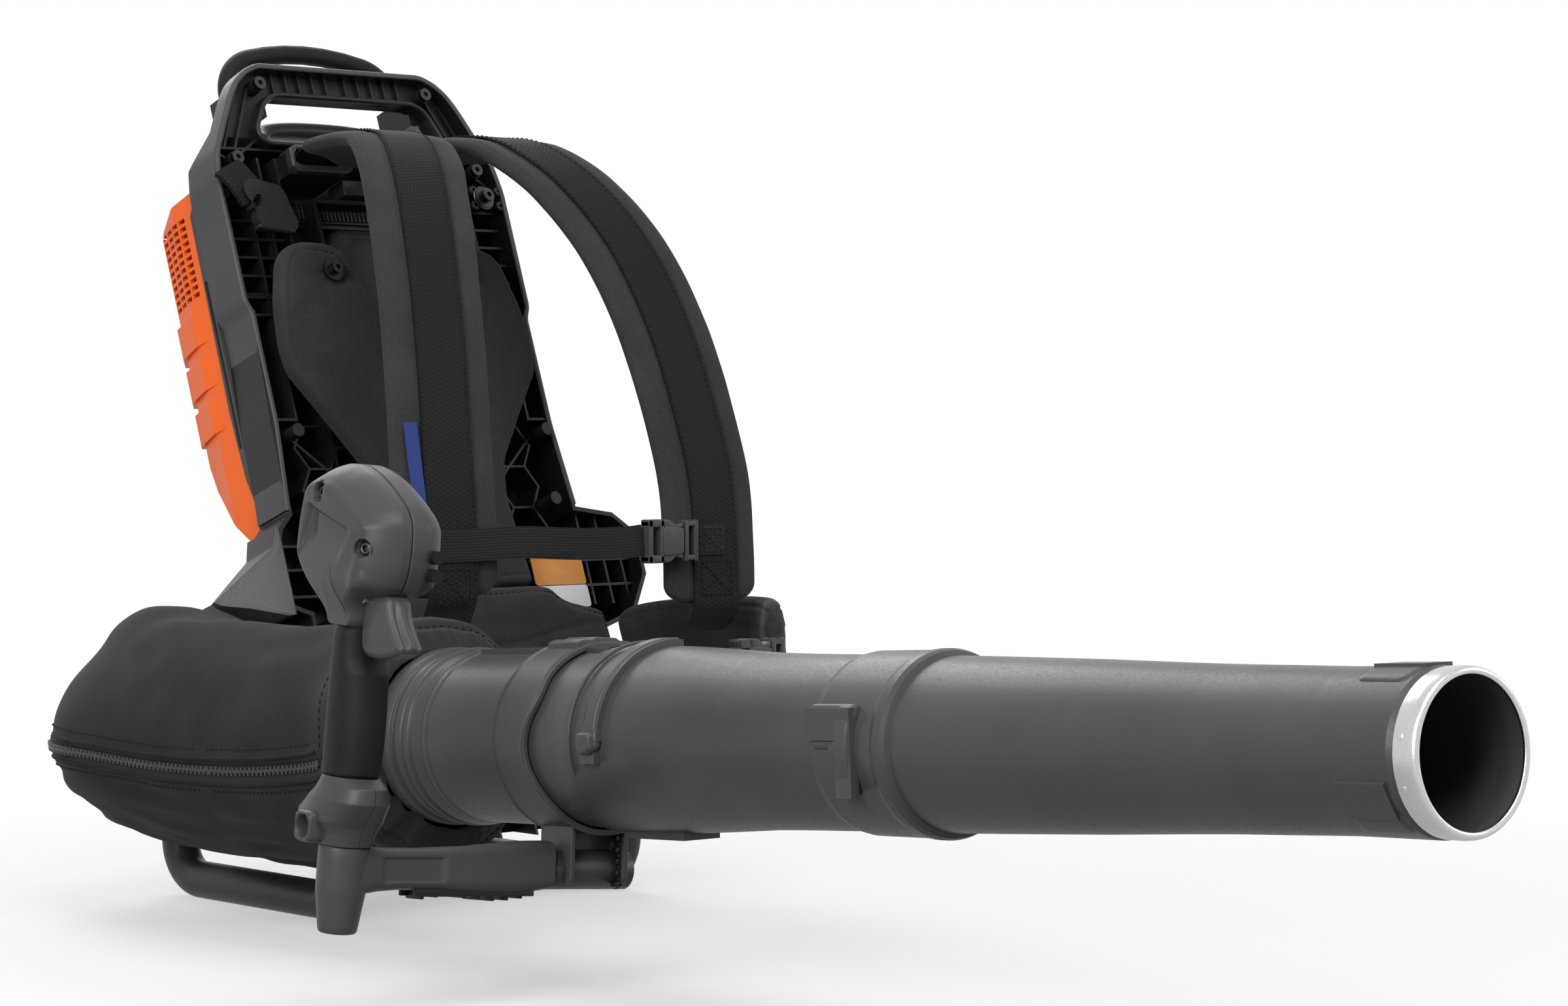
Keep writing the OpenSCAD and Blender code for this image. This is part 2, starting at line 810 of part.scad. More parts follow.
pad_gap = 2;
pad_t = 13;
pad_outline = [
  [26, -120], [58, -120], [52, -60], [56, -34], [80, 2], [101, 32], [103, 50], [100, 80],
  [92, 109], [84, 119], [72, 123], [50, 122], [41, 117], [26, 88], [22, 70], [20, 20], [20, -60]
];
washer_t = 2;

module back_pad() {
  on_plate() difference() {
    face_slab(-pad_gap - pad_t, -pad_gap) polygon(pad_outline);
    translate([pad_boss[0], -40, pad_boss[1]]) rotate([-90, 0, 0]) cylinder(r = pad_bolt_r + gap, h = 60);
  }
}

module back_pad_right() {
  color([0.12, 0.12, 0.13]) mirror([1, 0, 0]) back_pad();
}

module back_pad_left() {
  color([0.12, 0.12, 0.13]) back_pad();
}

module lumbar_pad() {
  color([0.11, 0.11, 0.12]) on_plate() face_slab(-34, -pad_gap) polygon([
    [-100, -196], [100, -196], [104, -150], [96, -124], [62, -122.5], [-62, -122.5], [-96, -124],
    [-104, -150]
  ]);
}

module pad_screws() {
  seat = pad_gap + pad_t + gap / 10;
  color([0.13, 0.13, 0.14]) on_plate() both()
    translate([pad_boss[0], -seat - washer_t, pad_boss[1]]) rotate([-90, 0, 0]) difference() {
      union() {
        translate([0, 0, -5]) cylinder(r = 4, h = 6);
        cylinder(r = 7.5, h = washer_t);
        cylinder(r = pad_bolt_r, h = washer_t + seat + web_v);
      }
      translate([0, 0, -7]) cylinder(r = 2, h = 4, $fn = 6);
    }
}

strap_path = [
  [40.5, 53, 484], [41, 30, 494], [42, 4, 499], [44, -25, 500], [50, -52, 494], [66, -85, 470],
  [83, -118, 427], [96, -145, 367], [106, -166, 289], [107, -172, 240], [107, -173, 208]
];
strap_steps = 44;

module strap_pad() {
  band(strap_path, [1, 0, 0], strap_w, strap_t, strap_steps);
}

module strap_pad_right() {
  color([0.13, 0.13, 0.14]) mirror([1, 0, 0]) strap_pad();
}

module strap_pad_left() {
  color([0.13, 0.13, 0.14]) strap_pad();
}

function outer_face(d) =
  let (q = curve_all(strap_path, strap_steps))
  [
    for (i = [0 : len(q) - 1])
      let (f = tangent(q, i), a = unit([1, 0, 0] - f * f[0]))
      q[i] + cross(f, a) * d
  ];

module webbing() {
  band(
    concat(
      [[40, 71.6, 484.6]], outer_face(strap_t / 2 + web_t / 2 + 0.1), [[107, -176, 192], [107, -166, 181]]
    ),
    [1, 0, 0], web_w, web_t, 48
  );
}

module webbing_right() {
  color([0.09, 0.09, 0.1]) mirror([1, 0, 0]) webbing();
}

module webbing_left() {
  color([0.09, 0.09, 0.1]) webbing();
}

chest_y = -186;
chest_z = 242;
buckle_x = 58;
web_face = -180.4;
chest_path = [
  [-124, web_face - web_t / 2, chest_z], [-94, web_face - web_t / 2, chest_z], [-60, chest_y - 2, chest_z + 1],
  [-16, chest_y - 4, chest_z - 1], [20, chest_y - 3, chest_z - 1], [37.2, chest_y - 1, chest_z]
];

module chest_strap() {
  color([0.09, 0.09, 0.1]) band(chest_path, [0, 0.04, 1], chest_w, web_t, 24);
}

module chest_buckle() {
  color([0.24, 0.24, 0.25]) translate([buckle_x, chest_y - 1, chest_z - 1]) difference() {
    translate([-20, -5, -14]) cube([30, 10, 28]);
    translate([-17, -6, -chest_w / 2 - 1]) cube([5, 12, chest_w + 2]);
    translate([-9, -3, -11]) cube([20, 6, 22]);
  }
}

module chest_plug() {
  tail = [buckle_x + 14, web_face - web_t, chest_z - 1 - chest_w / 2];
  color([0.2, 0.2, 0.21]) {
    translate([buckle_x - 8, chest_y - 3.6, chest_z - 11]) cube([24, 5.2, 20]);
    translate([buckle_x + 12, chest_y - 3.6, chest_z - 11]) cube([5, web_face - chest_y + 3.6, 20]);
    translate(tail) cube([38, web_t, chest_w]);
  }
}

hip_path = [
  [110, -87, 158], [130, -96, 162], [153, -116, 164], [167, -142, 164], [163, -172, 164],
  [148, -192, 163]
];
hip_h = 62;
hip_t = 16;

module hip_wing_left() {
  color([0.11, 0.11, 0.12]) band(hip_path, [0, 0.1, 1], hip_h, hip_t, 20);
}

hip_tuck = [[-80, -102.5, 152], [-97, -125, 154], [-100, -148, 156], [-84, -162, 157], [-62, -168, 157]];

module hip_wing_right() {
  color([0.11, 0.11, 0.12]) band(hip_tuck, [0, 0.1, 1], hip_h - 16, hip_t - 4, 20);
}

module belt_buckle() {
  color([0.3, 0.3, 0.31]) translate([122, -203, 160]) rotate([0, 0, 12]) difference() {
    translate([-26, -5, -17]) cube([52, 10, 34]);
    translate([-22, -6, -14]) cube([9, 12, 28]);
  }
}

module lifter_strap() {
  color([0.09, 0.09, 0.1]) on_plate() {
    difference() {
      translate([-113, gap / 10, 134]) cube([27, web_t, 42]);
      translate([-anchor[0], -1, anchor[1]]) rotate([-90, 0, 0]) cylinder(r = boss_hole_r, h = 4);
    }
  }
}

module lifter_buckle() {
  color([0.22, 0.22, 0.23]) on_plate() translate([-91, -2.1, 142]) rotate([0, 8, 0]) difference() {
    translate([-15, -7, -12]) cube([30, 9, 25]);
    translate([-11, -8, 5]) cube([22, 12, 4]);
    translate([-10, -4, -13]) cube([20, 4, 14]);
  }
}

module hang_tag() {
  color([0.24, 0.34, 0.8]) translate([-131.3, -173.2, 290]) rotate([-11, 0, 0])
    translate([-5, 0, -28]) cube([10, 0.8, 56]);
}

// ---- hose ---------------------------------------------------------------------------------

hose_start = [hose_x, duct_y - elbow_bend - spigot_len - gap, duct_z];
cuff_back = -62;
function pipe_dir() = [
  -sin(pipe_yaw) * cos(pipe_rise), -cos(pipe_yaw) * cos(pipe_rise), sin(pipe_rise)
];
function pipe_point(s) = pipe_ref + pipe_dir() * s;
hose_line = [
  hose_start, hose_start + [0, -9, 0], hose_start + [0, -18, 0], hose_start + [-3, -48, 1.5], pipe_point(cuff_back) - pipe_dir() * 75 + [-6, 0, -3],
  pipe_point(cuff_back) - pipe_dir() * 38, pipe_point(cuff_back - 1)
];
cuff_r = 48;
bellows_n = 34;

// Ring of n points around c, square to the direction f, with radii a across and b upward.
function ring_at(c, f, a, b, n) =
  let (x = unit(cross(f, [0, 0, 1])), y = cross(x, f))
  [for (k = [0 : n - 1]) c + x * a * cos(k * 360 / n) - y * b * sin(k * 360 / n)];

function tube_rings(q, outer, inner, n) = concat(
  [for (i = [0 : len(q) - 1]) ring_at(q[i], tangent(q, i), outer[i], outer[i], n)],
  [for (i = [len(q) - 1 : -1 : 0]) ring_at(q[i], tangent(q, i), inner[i], inner[i], n)]
);

// Closed tube wall: the rings run forward outside and back inside, and the last joins the first.
module shell_skin(rings) {
  n = len(rings);
  m = len(rings[0]);
  points = [for (r = rings) for (q = r) q];
  sides = [
    for (i = [0 : n - 1]) for (j = [0 : m - 1])
      let (k = (j + 1) % m, h = (i + 1) % n)
      each [
        [i * m + j, h * m + j, h * m + k],
        [i * m + j, h * m + k, i * m + k]
      ]
  ];
  polyhedron(points, sides, convexity = 10);
}

module bellows_hose() {
  q = curve_all(hose_line, bellows_n);
  outer = [
    for (i = [0 : bellows_n]) cuff_r - 1 - 4 * max(0, 1 - i / 16) + (i % 2 == 0 ? 0 : 3)
  ];
  inner = [for (i = [0 : bellows_n]) outer[i] - 3];
  color([0.08, 0.08, 0.08]) shell_skin(tube_rings(q, outer, inner, 24));
}

// Middle line of the cover with its reach outward, inward and upward at each point.
cover_line = [
  [-base_a - 2.5, duct_y, 113], [hose_x + 45, duct_y - 0.2, 114], [hose_x + 30, duct_y - 5, 116],
  [hose_x + 13, duct_y - 19, 118], [hose_x + 2.5, duct_y - 39, 119], [hose_x - 2, 5, 118],
  [hose_x - 3, -60, 116], [-176.5, -130, 118], [-173, -190, 124],
  [-171.5, -228, 130], [-173, -248, 133], [-174.2, -264, 134.6]
];
cover_out = [50, 60, 68, 73, 75, 73, 69, 66, 68, 72, 70, 55];
cover_in = [49, 50.4, 50.4, 50, 51.5, 54, 55, 64, 68, 69, 68, 57];
cover_up = [66, 70, 75, 80, 81, 81, 80, 78, 76, 76, 72, 55];
cover_down = [58, 60, 64, 67, 68, 69, 70, 72, 74, 75, 72, 55];
cover_n = 33;
cover_m = 28;

function value(p, u) = let (i = min(floor(u), len(p) - 2)) p[i] + (p[i + 1] - p[i]) * (u - i);

function cover_ring(i, t) =
  let (
    u = i * (len(cover_line) - 1) / cover_n,
    q = curve_all(cover_line, cover_n),
    f = i < 4 ? [-1, 0, 0] : tangent(q, i),
    x = unit(cross(f, [0, 0, 1])),
    y = cross(x, f),
    a = value(cover_out, u) - t,
    b = value(cover_in, u) - t,
    c = value(cover_up, u) - t,
    d = value(cover_down, u) - t
  )
  [
    for (k = [0 : cover_m - 1])
      let (w = k * 360 / cover_m)
      q[i] + x * cos(w) * (cos(w) > 0 ? a : b) - y * sin(w) * (sin(w) < 0 ? c : d)
  ];

module hose_cover() {
  color([0.13, 0.13, 0.13]) shell_skin(concat(
    [for (i = [0 : cover_n]) cover_ring(i, 0)],
    [for (i = [cover_n : -1 : 0]) cover_ring(i, cloth_t)]
  ));
}

module lathe(points) {
  rotate_extrude() polygon(points);
}

ring_s = -104;

module hose_ring() {
  color([0.6, 0.6, 0.62]) on_pipe() translate([0, 0, ring_s]) difference() {
    cylinder(r = 55, h = 4);
    translate([0, 0, -1]) cylinder(r = 51.5, h = 6);
  }
}

socket_r = 46;
joint_s = 18;
rail_end = 150;

module swivel_cuff() {
  color([0.19, 0.19, 0.2]) on_pipe() lathe([
    [socket_r, cuff_back], [cuff_r, cuff_back], [cuff_r, -30], [51, -26], [51, -14], [49.6, -12],
    [49.6, -6], [51.2, -4], [51.2, 4], [49.6, 6], [49.6, 10], [50.6, 12],
    [50.6, joint_s - gap], [socket_r, joint_s - gap]
  ]);
}

module rail_tube() {
  in_r = socket_r - run_fit - pipe_wall - 0.6;
  color([0.21, 0.21, 0.22]) on_pipe() {
    lathe([
      [in_r, -20], [socket_r - run_fit, -20], [socket_r - run_fit, joint_s], [rail_r + 0.6, joint_s],
      [rail_r + 0.6, joint_s + 4], [rail_r, joint_s + 6], [rail_r, rail_end],
      [main_r - pipe_wall - run_fit, rail_end], [main_r - pipe_wall - run_fit, rail_end + 18],
      [in_r, rail_end + 18]
    ]);
    difference() {
      for (x = [-12, 9]) translate([x, 0, joint_s + 8]) cube([3, rail_top, rail_end - joint_s - 8]);
      translate([0, 0, joint_s]) cylinder(r = rail_r - 1, h = 200);
    }
  }
}

rail_top = rail_r + 1.6;
sleeve_s = 367;
step_s = 425;
tip_s = 741.5;
main_stations = [
  [rail_end + gap / 10, main_r], [162, main_r + 0.4], [190, main_r], [215, main_r - 0.8],
  [250, main_r - 2.6], [285, main_r - 4.6], [315, main_r - 5.4], [350, main_r - 6],
  [sleeve_s - gap, spigot_r]
];

module main_tube() {
  inner = main_r - pipe_wall;
  color([0.21, 0.21, 0.22]) on_pipe() difference() {
    union() {
      lathe(concat(
        [for (s = main_stations) [s[1], s[0]]],
        [
          [spigot_r, step_s - 9], [spigot_r - pipe_wall, step_s - 9], [spigot_r - pipe_wall, sleeve_s],
          [main_r - 6 - pipe_wall, 350], [main_r - 4.6 - pipe_wall, 285], [inner - 0.8, 215],
          [inner, 190], [inner, rail_end + gap / 10]
        ]
      ));
      // strap rib with its boss, and the pad under the tube
      intersection() {
        translate([0, 0, 184]) difference() {
          cylinder(r = main_r + 3.4, h = 12);
          translate([0, 0, -1]) cylinder(r = main_r - 1.5, h = 14);
        }
        translate([-70, 2, 150]) cube([76, 80, 100]);
      }
      translate([-main_r - 3.4, -10, 180]) cube([5.5, 18, 13]);
      translate([-12, -main_r - 2.5, 160]) cube([24, 5, 54]);
    }
    translate([0, 0, 150]) cylinder(r = inner - 2, h = 100);
    translate([0, 0, 150]) cylinder(r = inner, h = 40);
  }
}

nozzle_stations = [
  [step_s, spigot_r - 0.6], [460, 42.6], [534, 40.7], [575, 39.3], [618, 38], [650, 37.4],
  [690, mouth_r - 0.2], [tip_s - 3, mouth_r + 0.2]
];
sleeve_r = spigot_r + pipe_wall + run_fit;

module nozzle_tube() {
  n = len(nozzle_stations);
  seat_r = mouth_r - 1.4;
  color([0.21, 0.21, 0.22]) on_pipe() difference() {
    union() {
      lathe(concat(
        [
          [spigot_r + run_fit, sleeve_s], [sleeve_r - 0.6, sleeve_s], [sleeve_r, sleeve_s + 4],
          [sleeve_r, step_s - 12], [sleeve_r + 0.7, step_s - 9], [sleeve_r + 0.7, step_s - 4],
          [sleeve_r - 0.4, step_s - 1]
        ],
        [for (s = nozzle_stations) [s[1], s[0]]],
        [[seat_r, tip_s], [seat_r, tip_s + ring_len - 2.2], [seat_r - pipe_wall, tip_s + ring_len - 2.2]],
        [for (i = [n - 1 : -1 : 1]) [nozzle_stations[i][1] - pipe_wall, nozzle_stations[i][0]]],
        [[spigot_r - 3, step_s - 8 + gap], [spigot_r + run_fit, step_s - 9 + gap]]
      ));
      // bayonet housing on the sleeve
      for (a = [0, 180]) rotate(a) {
        translate([-sleeve_r - 3, 4, sleeve_s + 1]) cube([5, 16, 34]);
        translate([-sleeve_r - 3, -24, sleeve_s + 23]) cube([5, 44, 12]);
      }
      // lugs behind the ring
      for (a = [90, 210, 330]) rotate(a) translate([mouth_r - 2, -9, tip_s - 33]) cube([3.2, 18, 28]);
    }
    translate([0, 0, sleeve_s - 10]) cylinder(r = spigot_r + run_fit, h = step_s - sleeve_s + 1);
    translate([0, 0, tip_s - 40]) cylinder(r = mouth_r - pipe_wall - 0.6, h = 60);
  }
}

module steel_ring() {
  seat_r = mouth_r - 1.4;
  outer = mouth_r - 0.2;
  lip_s = tip_s + ring_len;
  color([0.8, 0.8, 0.8]) on_pipe() lathe([
    [seat_r, tip_s + gap / 10], [outer, tip_s + gap / 10], [outer, lip_s - 1], [outer - 0.8, lip_s],
    [seat_r - pipe_wall, lip_s], [seat_r - pipe_wall, lip_s - 2.1], [seat_r, lip_s - 2.1]
  ]);
}

// ---- clamp and handle ---------------------------------------------------------------------

band_s = [arm_s - band_w / 2, arm_s + band_w / 2];
band_in = rail_r + run_fit;
band_out = band_in + 2.8;
socket_out = arm_r + 2.8;
arm_in_x = -28;
arm_end_x = 19;

module on_clamp() {
  on_pipe() rotate([0, 0, -clamp_roll]) children();
}

module clamp_band() {
  rail_gap = rail_top + gap;
  color([0.23, 0.23, 0.24]) on_clamp() difference() {
    union() {
      translate([0, 0, band_s[0]]) cylinder(r = band_out, h = band_w);
      translate([-22, rail_r - 8, band_s[0] + 4]) cube([44, 12.5, band_w - 8]);
      translate([-20, -arm_drop, arm_s - 8]) cube([38, arm_drop - 30, 16]);
      translate([-20, -arm_drop + 8, band_s[0] + 3]) cube([3, arm_drop - 38, band_w - 6]);
      translate([15, -arm_drop + 8, band_s[0] + 3]) cube([3, arm_drop - 38, band_w - 6]);
      translate([0, -arm_drop, arm_s]) across_rod(socket_out, arm_in_x + gap, arm_end_x - gap);
    }
    translate([0, 0, band_s[0] - 1]) cylinder(r = band_in, h = band_w + 2);
    translate([0, -arm_drop, arm_s]) across_rod(arm_r + run_fit, -60, 60);
    rotate([0, 0, clamp_roll]) translate([-14, 0, band_s[0] - 1]) cube([28, rail_gap, band_w + 2]);
    translate([-30, -arm_drop - socket_out - 1, arm_s - 1]) cube([70, 5, 2]);
  }
}

module clamp_bolt() {
  color([0.12, 0.12, 0.13]) on_arm() {
    across_rod(arm_r + 3, arm_end_x + gap, arm_end_x + 6);
    across_rod(bolt_r, -10, arm_end_x + gap + eps);
  }
}

bolt_r = 4;
foot_g = -33.5;
neck_g = 13.7;
flange_g = 50;
sleeve_g = [flange_g + gap, 127];
core_r = 11;
post_a = 13.6;

module handle_arm() {
  color([0.2, 0.2, 0.21]) {
    on_arm() difference() {
      union() {
        across_rod(arm_r, arm_in_x - 5, arm_end_x);
        translate([-arm_len, -12, -11]) cube([arm_len + arm_in_x - gap, 24, 22]);
      }
      across_rod(bolt_r + run_fit, -12, arm_end_x + 1);
      for (x = [-112 : 12 : -52]) translate([x, -13, -8]) cube([9, 8, 16]);
      translate([-arm_len + 20, -6, 9.8]) cube([40, 10, 4]);
    }
    on_grip() difference() {
      union() {
        translate([0, foot_g, 0]) rotate([-90, 0, 0]) cylinder(r1 = 10, r2 = post_a, h = 34);
        up_rod(post_a, foot_g + 34 - eps, neck_g - gap);
      }
      up_rod(core_r - wall, -14, 40);
    }
  }
}

port_pos = [-10, 22, -8];
port_r = 6;

module handle_port() {
  translate(port_pos) across_rod(port_r + 1.8, -12, -port_pos[0] - gap);
}

head_side = [
  [-28, 144], [-41, 157], [-42, 182], [-38, 200], [-20, 212], [-2, 212], [22, 202], [37, 190],
  [41.5, 176], [40, 160], [31, 148], [16, 143], [9, 133], [9, 128], [-14, 128], [-18, 136]
];
flange_side = [
  [-16, neck_g], [-16, 24], [-42, 24], [-40, 30], [-22, 42], [-16, flange_g], [16, flange_g],
  [26, 46], [27, 38], [17, 28], [16, neck_g]
];
head_plan = [
  [-head_a, -34], [-head_a + 6, -42], [head_a - 6, -42], [head_a, -34], [head_a, 34],
  [head_a - 7, 42], [-head_a + 7, 42], [-head_a, 34]
];
flange_plan = [[-6, -42], [6, -42], [19, -16], [19, 18], [12, 28], [-12, 28], [-19, 18], [-19, -16]];
screw_at = [[-19, 198], [27.5, 171]];

module grip_slab(x0, x1, outline) {
  translate([x0, 0, 0]) rotate([0, 90, 0]) linear_extrude(x1 - x0)
    polygon([for (q = outline) [-q[0], q[1]]]);
}

// Prism up the grip with its plan drawn as X and forward Z.
module grip_prism(y0, y1, plan) {
  translate([0, y1, 0]) rotate([90, 0, 0]) linear_extrude(y1 - y0) polygon(plan);
}

module head_solid(t) {
  intersection() {
    grip_slab(t - head_a, head_a - t, mirrored_inset(head_side, t));
    grip_prism(120, 220, inset(head_plan, t));
  }
}

// Inset of an outline that runs clockwise.
function mirrored_inset(p, t) = let (n = len(p))
  inset([for (i = [n - 1 : -1 : 0]) p[i]], t);

module handle_body() {
  difference() {
    union() {
      difference() {
        head_solid(0);
        intersection() {
          head_solid(wall);
          translate([-40, 146, -60]) cube([80, 80, 120]);
        }
      }
      intersection() {
        head_solid(wall / 2);
        for (q = screw_at) translate([0, q[1], q[0]]) across_rod(screw_head_r + wall, -head_a, head_a);
      }
      intersection() {
        grip_slab(-20, 20, flange_side);
        grip_prism(neck_g, flange_g, flange_plan);
      }
      up_rod(core_r, neck_g, 134);
      handle_port();
    }
    up_rod(core_r - wall, -30, 150);
    translate(trigger_pivot) across_rod(pin_r, -trigger_a - 3.2, trigger_a + 3.2);
    translate([port_pos[0] - 20, port_pos[1], port_pos[2]]) rotate([0, 90, 0])
      cylinder(r = port_r, h = 24);
    translate([-trigger_a - 0.6, 108, 6]) cube([2 * trigger_a + 1.2, 42, 40]);
    for (q = screw_at) translate([0, q[1], q[0]]) {
      across_rod(screw_r, -head_a - 1, head_a - 5);
      across_rod(screw_head_r + gap, -head_a - 1, -head_a + 8);
    }
    for (q = button_at) translate([q[0], q[1], 30]) cylinder(r = button_r + gap, h = 30);
  }
}

screw_r = 2.1;
screw_head_r = 4.4;
trigger_a = 8;
trigger_pivot = [0, 144, 15];
button_r = 3.6;
button_at = [[14.5, 169], [14.5, 159.5]];

module head_shell_outer() {
  color([0.21, 0.21, 0.22]) on_grip() intersection() {
    handle_body();
    translate([-60, -60, -80]) cube([60 - gap / 10, 300, 160]);
  }
}

module head_shell_inner() {
  color([0.21, 0.21, 0.22]) on_grip() intersection() {
    handle_body();
    translate([0, -60, -80]) cube([60, 300, 160]);
  }
}

module grip_sleeve() {
  color([0.1, 0.1, 0.1]) on_grip() difference() {
    intersection() {
      grip_slab(-14.5, 14.5, [
        [-17, sleeve_g[0]], [-17, sleeve_g[1]], [5, sleeve_g[1]], [5, 108], [17, 108],
        [17, sleeve_g[0]]
      ]);
      grip_prism(sleeve_g[0] - 1, sleeve_g[1] + 1, [
        [-8, -17], [8, -17], [14.5, -9], [14.5, 9], [8, 17], [-8, 17], [-14.5, 9], [-14.5, -9]
      ]);
    }
    up_rod(core_r + run_fit, 0, 200);
  }
}

trigger_side = [
  [10.5, 149], [18.5, 148], [22, 139], [29, 129], [37, 122], [35, 116], [26, 113], [16, 113],
  [11.5, 120]
];
pin_r = 2;

module trigger() {
  color([0.2, 0.2, 0.21]) on_grip() difference() {
    grip_slab(-trigger_a, trigger_a, trigger_side);
    translate(trigger_pivot) across_rod(pin_r + run_fit, -20, 20);
  }
}

module trigger_pin() {
  color([0.7, 0.7, 0.72]) on_grip() translate(trigger_pivot) across_rod(pin_r, -trigger_a - 3, trigger_a + 3);
}

module trigger_spring() {
  color([0.7, 0.7, 0.72]) on_grip() translate([0, 130, 6 + gap / 10]) difference() {
    cylinder(r = 2.6, h = 4.9);
    translate([0, 0, -1]) cylinder(r = 1.8, h = 6);
  }
}

module button(at) {
  on_grip() translate([at[0], at[1], 31]) cylinder(r = button_r, h = 13);
}

module power_button() {
  color([0.08, 0.08, 0.08]) button(button_at[0]);
}

module boost_button() {
  color([0.08, 0.08, 0.08]) button(button_at[1]);
}

module handle_screws() {
  color([0.1, 0.1, 0.1]) on_grip() for (q = screw_at) translate([-head_a, q[1], q[0]]) difference() {
    union() {
      across_rod(screw_r - run_fit, 7, 2 * head_a - 6);
      across_rod(screw_head_r, 4.5, 8 - gap / 10);
    }
    rotate([0, 90, 0]) cylinder(r = 2, h = 6.5, $fn = 6);
  }
}

// ---- drawing ------------------------------------------------------------------------------

place() back_frame();
place() side_cover_right();
place() side_cover_left();
place() vent_cover_right();
place() vent_cover_left();
place() spine_housing();
place() battery_pack();
place() battery_latch();
place() carry_hoop();
place() base_front();
place() base_rear();
place() intake_grille();
place() impeller();
place() fan_motor();
place() fan_shaft();
place() shaft_bearings();
place() control_board();
place() outlet_elbow();
place() runner_right();
place() runner_left();
place() runner_mounts();
place() frame_screws();
place() back_pad_right();
place() back_pad_left();
place() lumbar_pad();
place() pad_screws();
place() strap_pad_right();
place() strap_pad_left();
place() webbing_right();
place() webbing_left();
place() chest_strap();
place() chest_buckle();
place() chest_plug();
place() hip_wing_right();
place() hip_wing_left();
place() belt_buckle();
place() lifter_strap();
place() lifter_buckle();
place() hang_tag();
place() bellows_hose();
place() hose_cover();
place() hose_ring();
place() swivel_cuff();
place() rail_tube();
place() main_tube();
place() nozzle_tube();
place() steel_ring();
place() clamp_band();
place() clamp_bolt();
place() handle_arm();
place() grip_sleeve();
place() head_shell_outer();
place() head_shell_inner();
place() trigger();
place() trigger_pin();
place() trigger_spring();
place() power_button();
place() boost_button();
place() handle_screws();
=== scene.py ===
import bpy
import bmesh
import json
import math
import numpy as np
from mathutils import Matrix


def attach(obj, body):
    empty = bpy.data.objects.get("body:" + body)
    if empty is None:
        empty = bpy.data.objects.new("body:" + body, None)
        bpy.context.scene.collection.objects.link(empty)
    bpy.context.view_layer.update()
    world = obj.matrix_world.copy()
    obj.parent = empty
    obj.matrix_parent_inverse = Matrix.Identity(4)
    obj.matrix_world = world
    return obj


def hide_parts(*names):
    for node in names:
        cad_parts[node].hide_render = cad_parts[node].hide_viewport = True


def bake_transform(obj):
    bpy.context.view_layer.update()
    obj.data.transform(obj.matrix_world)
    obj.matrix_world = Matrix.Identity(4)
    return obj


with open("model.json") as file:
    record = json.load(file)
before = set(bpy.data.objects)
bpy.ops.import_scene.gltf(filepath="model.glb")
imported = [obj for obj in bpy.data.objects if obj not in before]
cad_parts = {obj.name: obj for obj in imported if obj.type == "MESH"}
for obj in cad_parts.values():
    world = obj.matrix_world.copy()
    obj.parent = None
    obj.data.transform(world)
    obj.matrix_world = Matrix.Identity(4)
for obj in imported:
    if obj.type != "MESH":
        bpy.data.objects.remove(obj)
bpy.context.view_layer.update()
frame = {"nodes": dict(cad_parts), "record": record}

# ---- places: millimetres measured from the harness, turned into the row frame in metres
stance = {
    "originX": -95.0, "originY": -426.0, "plateZ": 317.0, "lean": 20.0,
    "pipeAt": (-175.0, -289.5, 136.5), "pipeYaw": 4.4, "pipeRise": 3.5,
    "armS": 113.0, "armDrop": 72.5, "armLen": 156.5, "clampRoll": 4.4, "gripLean": 6.3,
}


def turn(axis, degrees):  # rotation matrix about one axis
    c, s = math.cos(math.radians(degrees)), math.sin(math.radians(degrees))
    rows = {"x": [[1, 0, 0], [0, c, -s], [0, s, c]], "z": [[c, -s, 0], [s, c, 0], [0, 0, 1]]}
    return np.array(rows[axis], float)


pipeTurn = turn("z", -stance["pipeYaw"]) @ turn("x", -stance["pipeRise"]) @ turn("x", 90)
armTurn = pipeTurn @ turn("z", -stance["clampRoll"])
gripTurn = armTurn @ turn("x", stance["gripLean"])
pipeAt = np.array(stance["pipeAt"])
armAt = pipeAt + armTurn @ np.array([0, -stance["armDrop"], stance["armS"]])
gripAt = armAt + armTurn @ np.array([-stance["armLen"], 0, 0])
ground = (np.zeros(3), np.eye(3))
plate = (np.array([0, 0, stance["plateZ"]]), turn("x", -stance["lean"]))  # across, depth, up the plate
pipe = (pipeAt, pipeTurn)  # inboard, up, forward
clamp = (pipeAt, armTurn)
arm = (armAt, armTurn)
grip = (gripAt, gripTurn)


def toRow(points, place=ground):
    at, rot = place
    p = np.asarray(points, float) @ rot.T + at
    return (p - [stance["originX"], stance["originY"], 0]) / 1000


# ---- camera
camera = bpy.data.cameras.new("camera")
camera.sensor_width = 36
camera.lens = 84.42
camera.clip_end = 100
cameraObject = bpy.data.objects.new("camera", camera)
bpy.context.scene.collection.objects.link(cameraObject)
cameraObject.location = toRow([-1480.9, -1972.1, 327.0])
cameraObject.rotation_euler = (math.radians(88.5), 0, math.radians(-42.6))
bpy.context.scene.camera = cameraObject
bpy.context.scene.view_settings.view_transform = "Standard"
print("camera set")


# ---- surfaces
def gridQuads(n, m, closeN=False, closeM=True):  # quads between neighbouring rows and columns
    i, j = np.meshgrid(np.arange(n if closeN else n - 1), np.arange(m if closeM else m - 1), indexing="ij")
    a, b = i * m + j, i * m + (j + 1) % m
    c, d = (i + 1) % n * m + (j + 1) % m, (i + 1) % n * m + j
    return np.stack([a, b, c, d], -1).reshape(-1, 4)


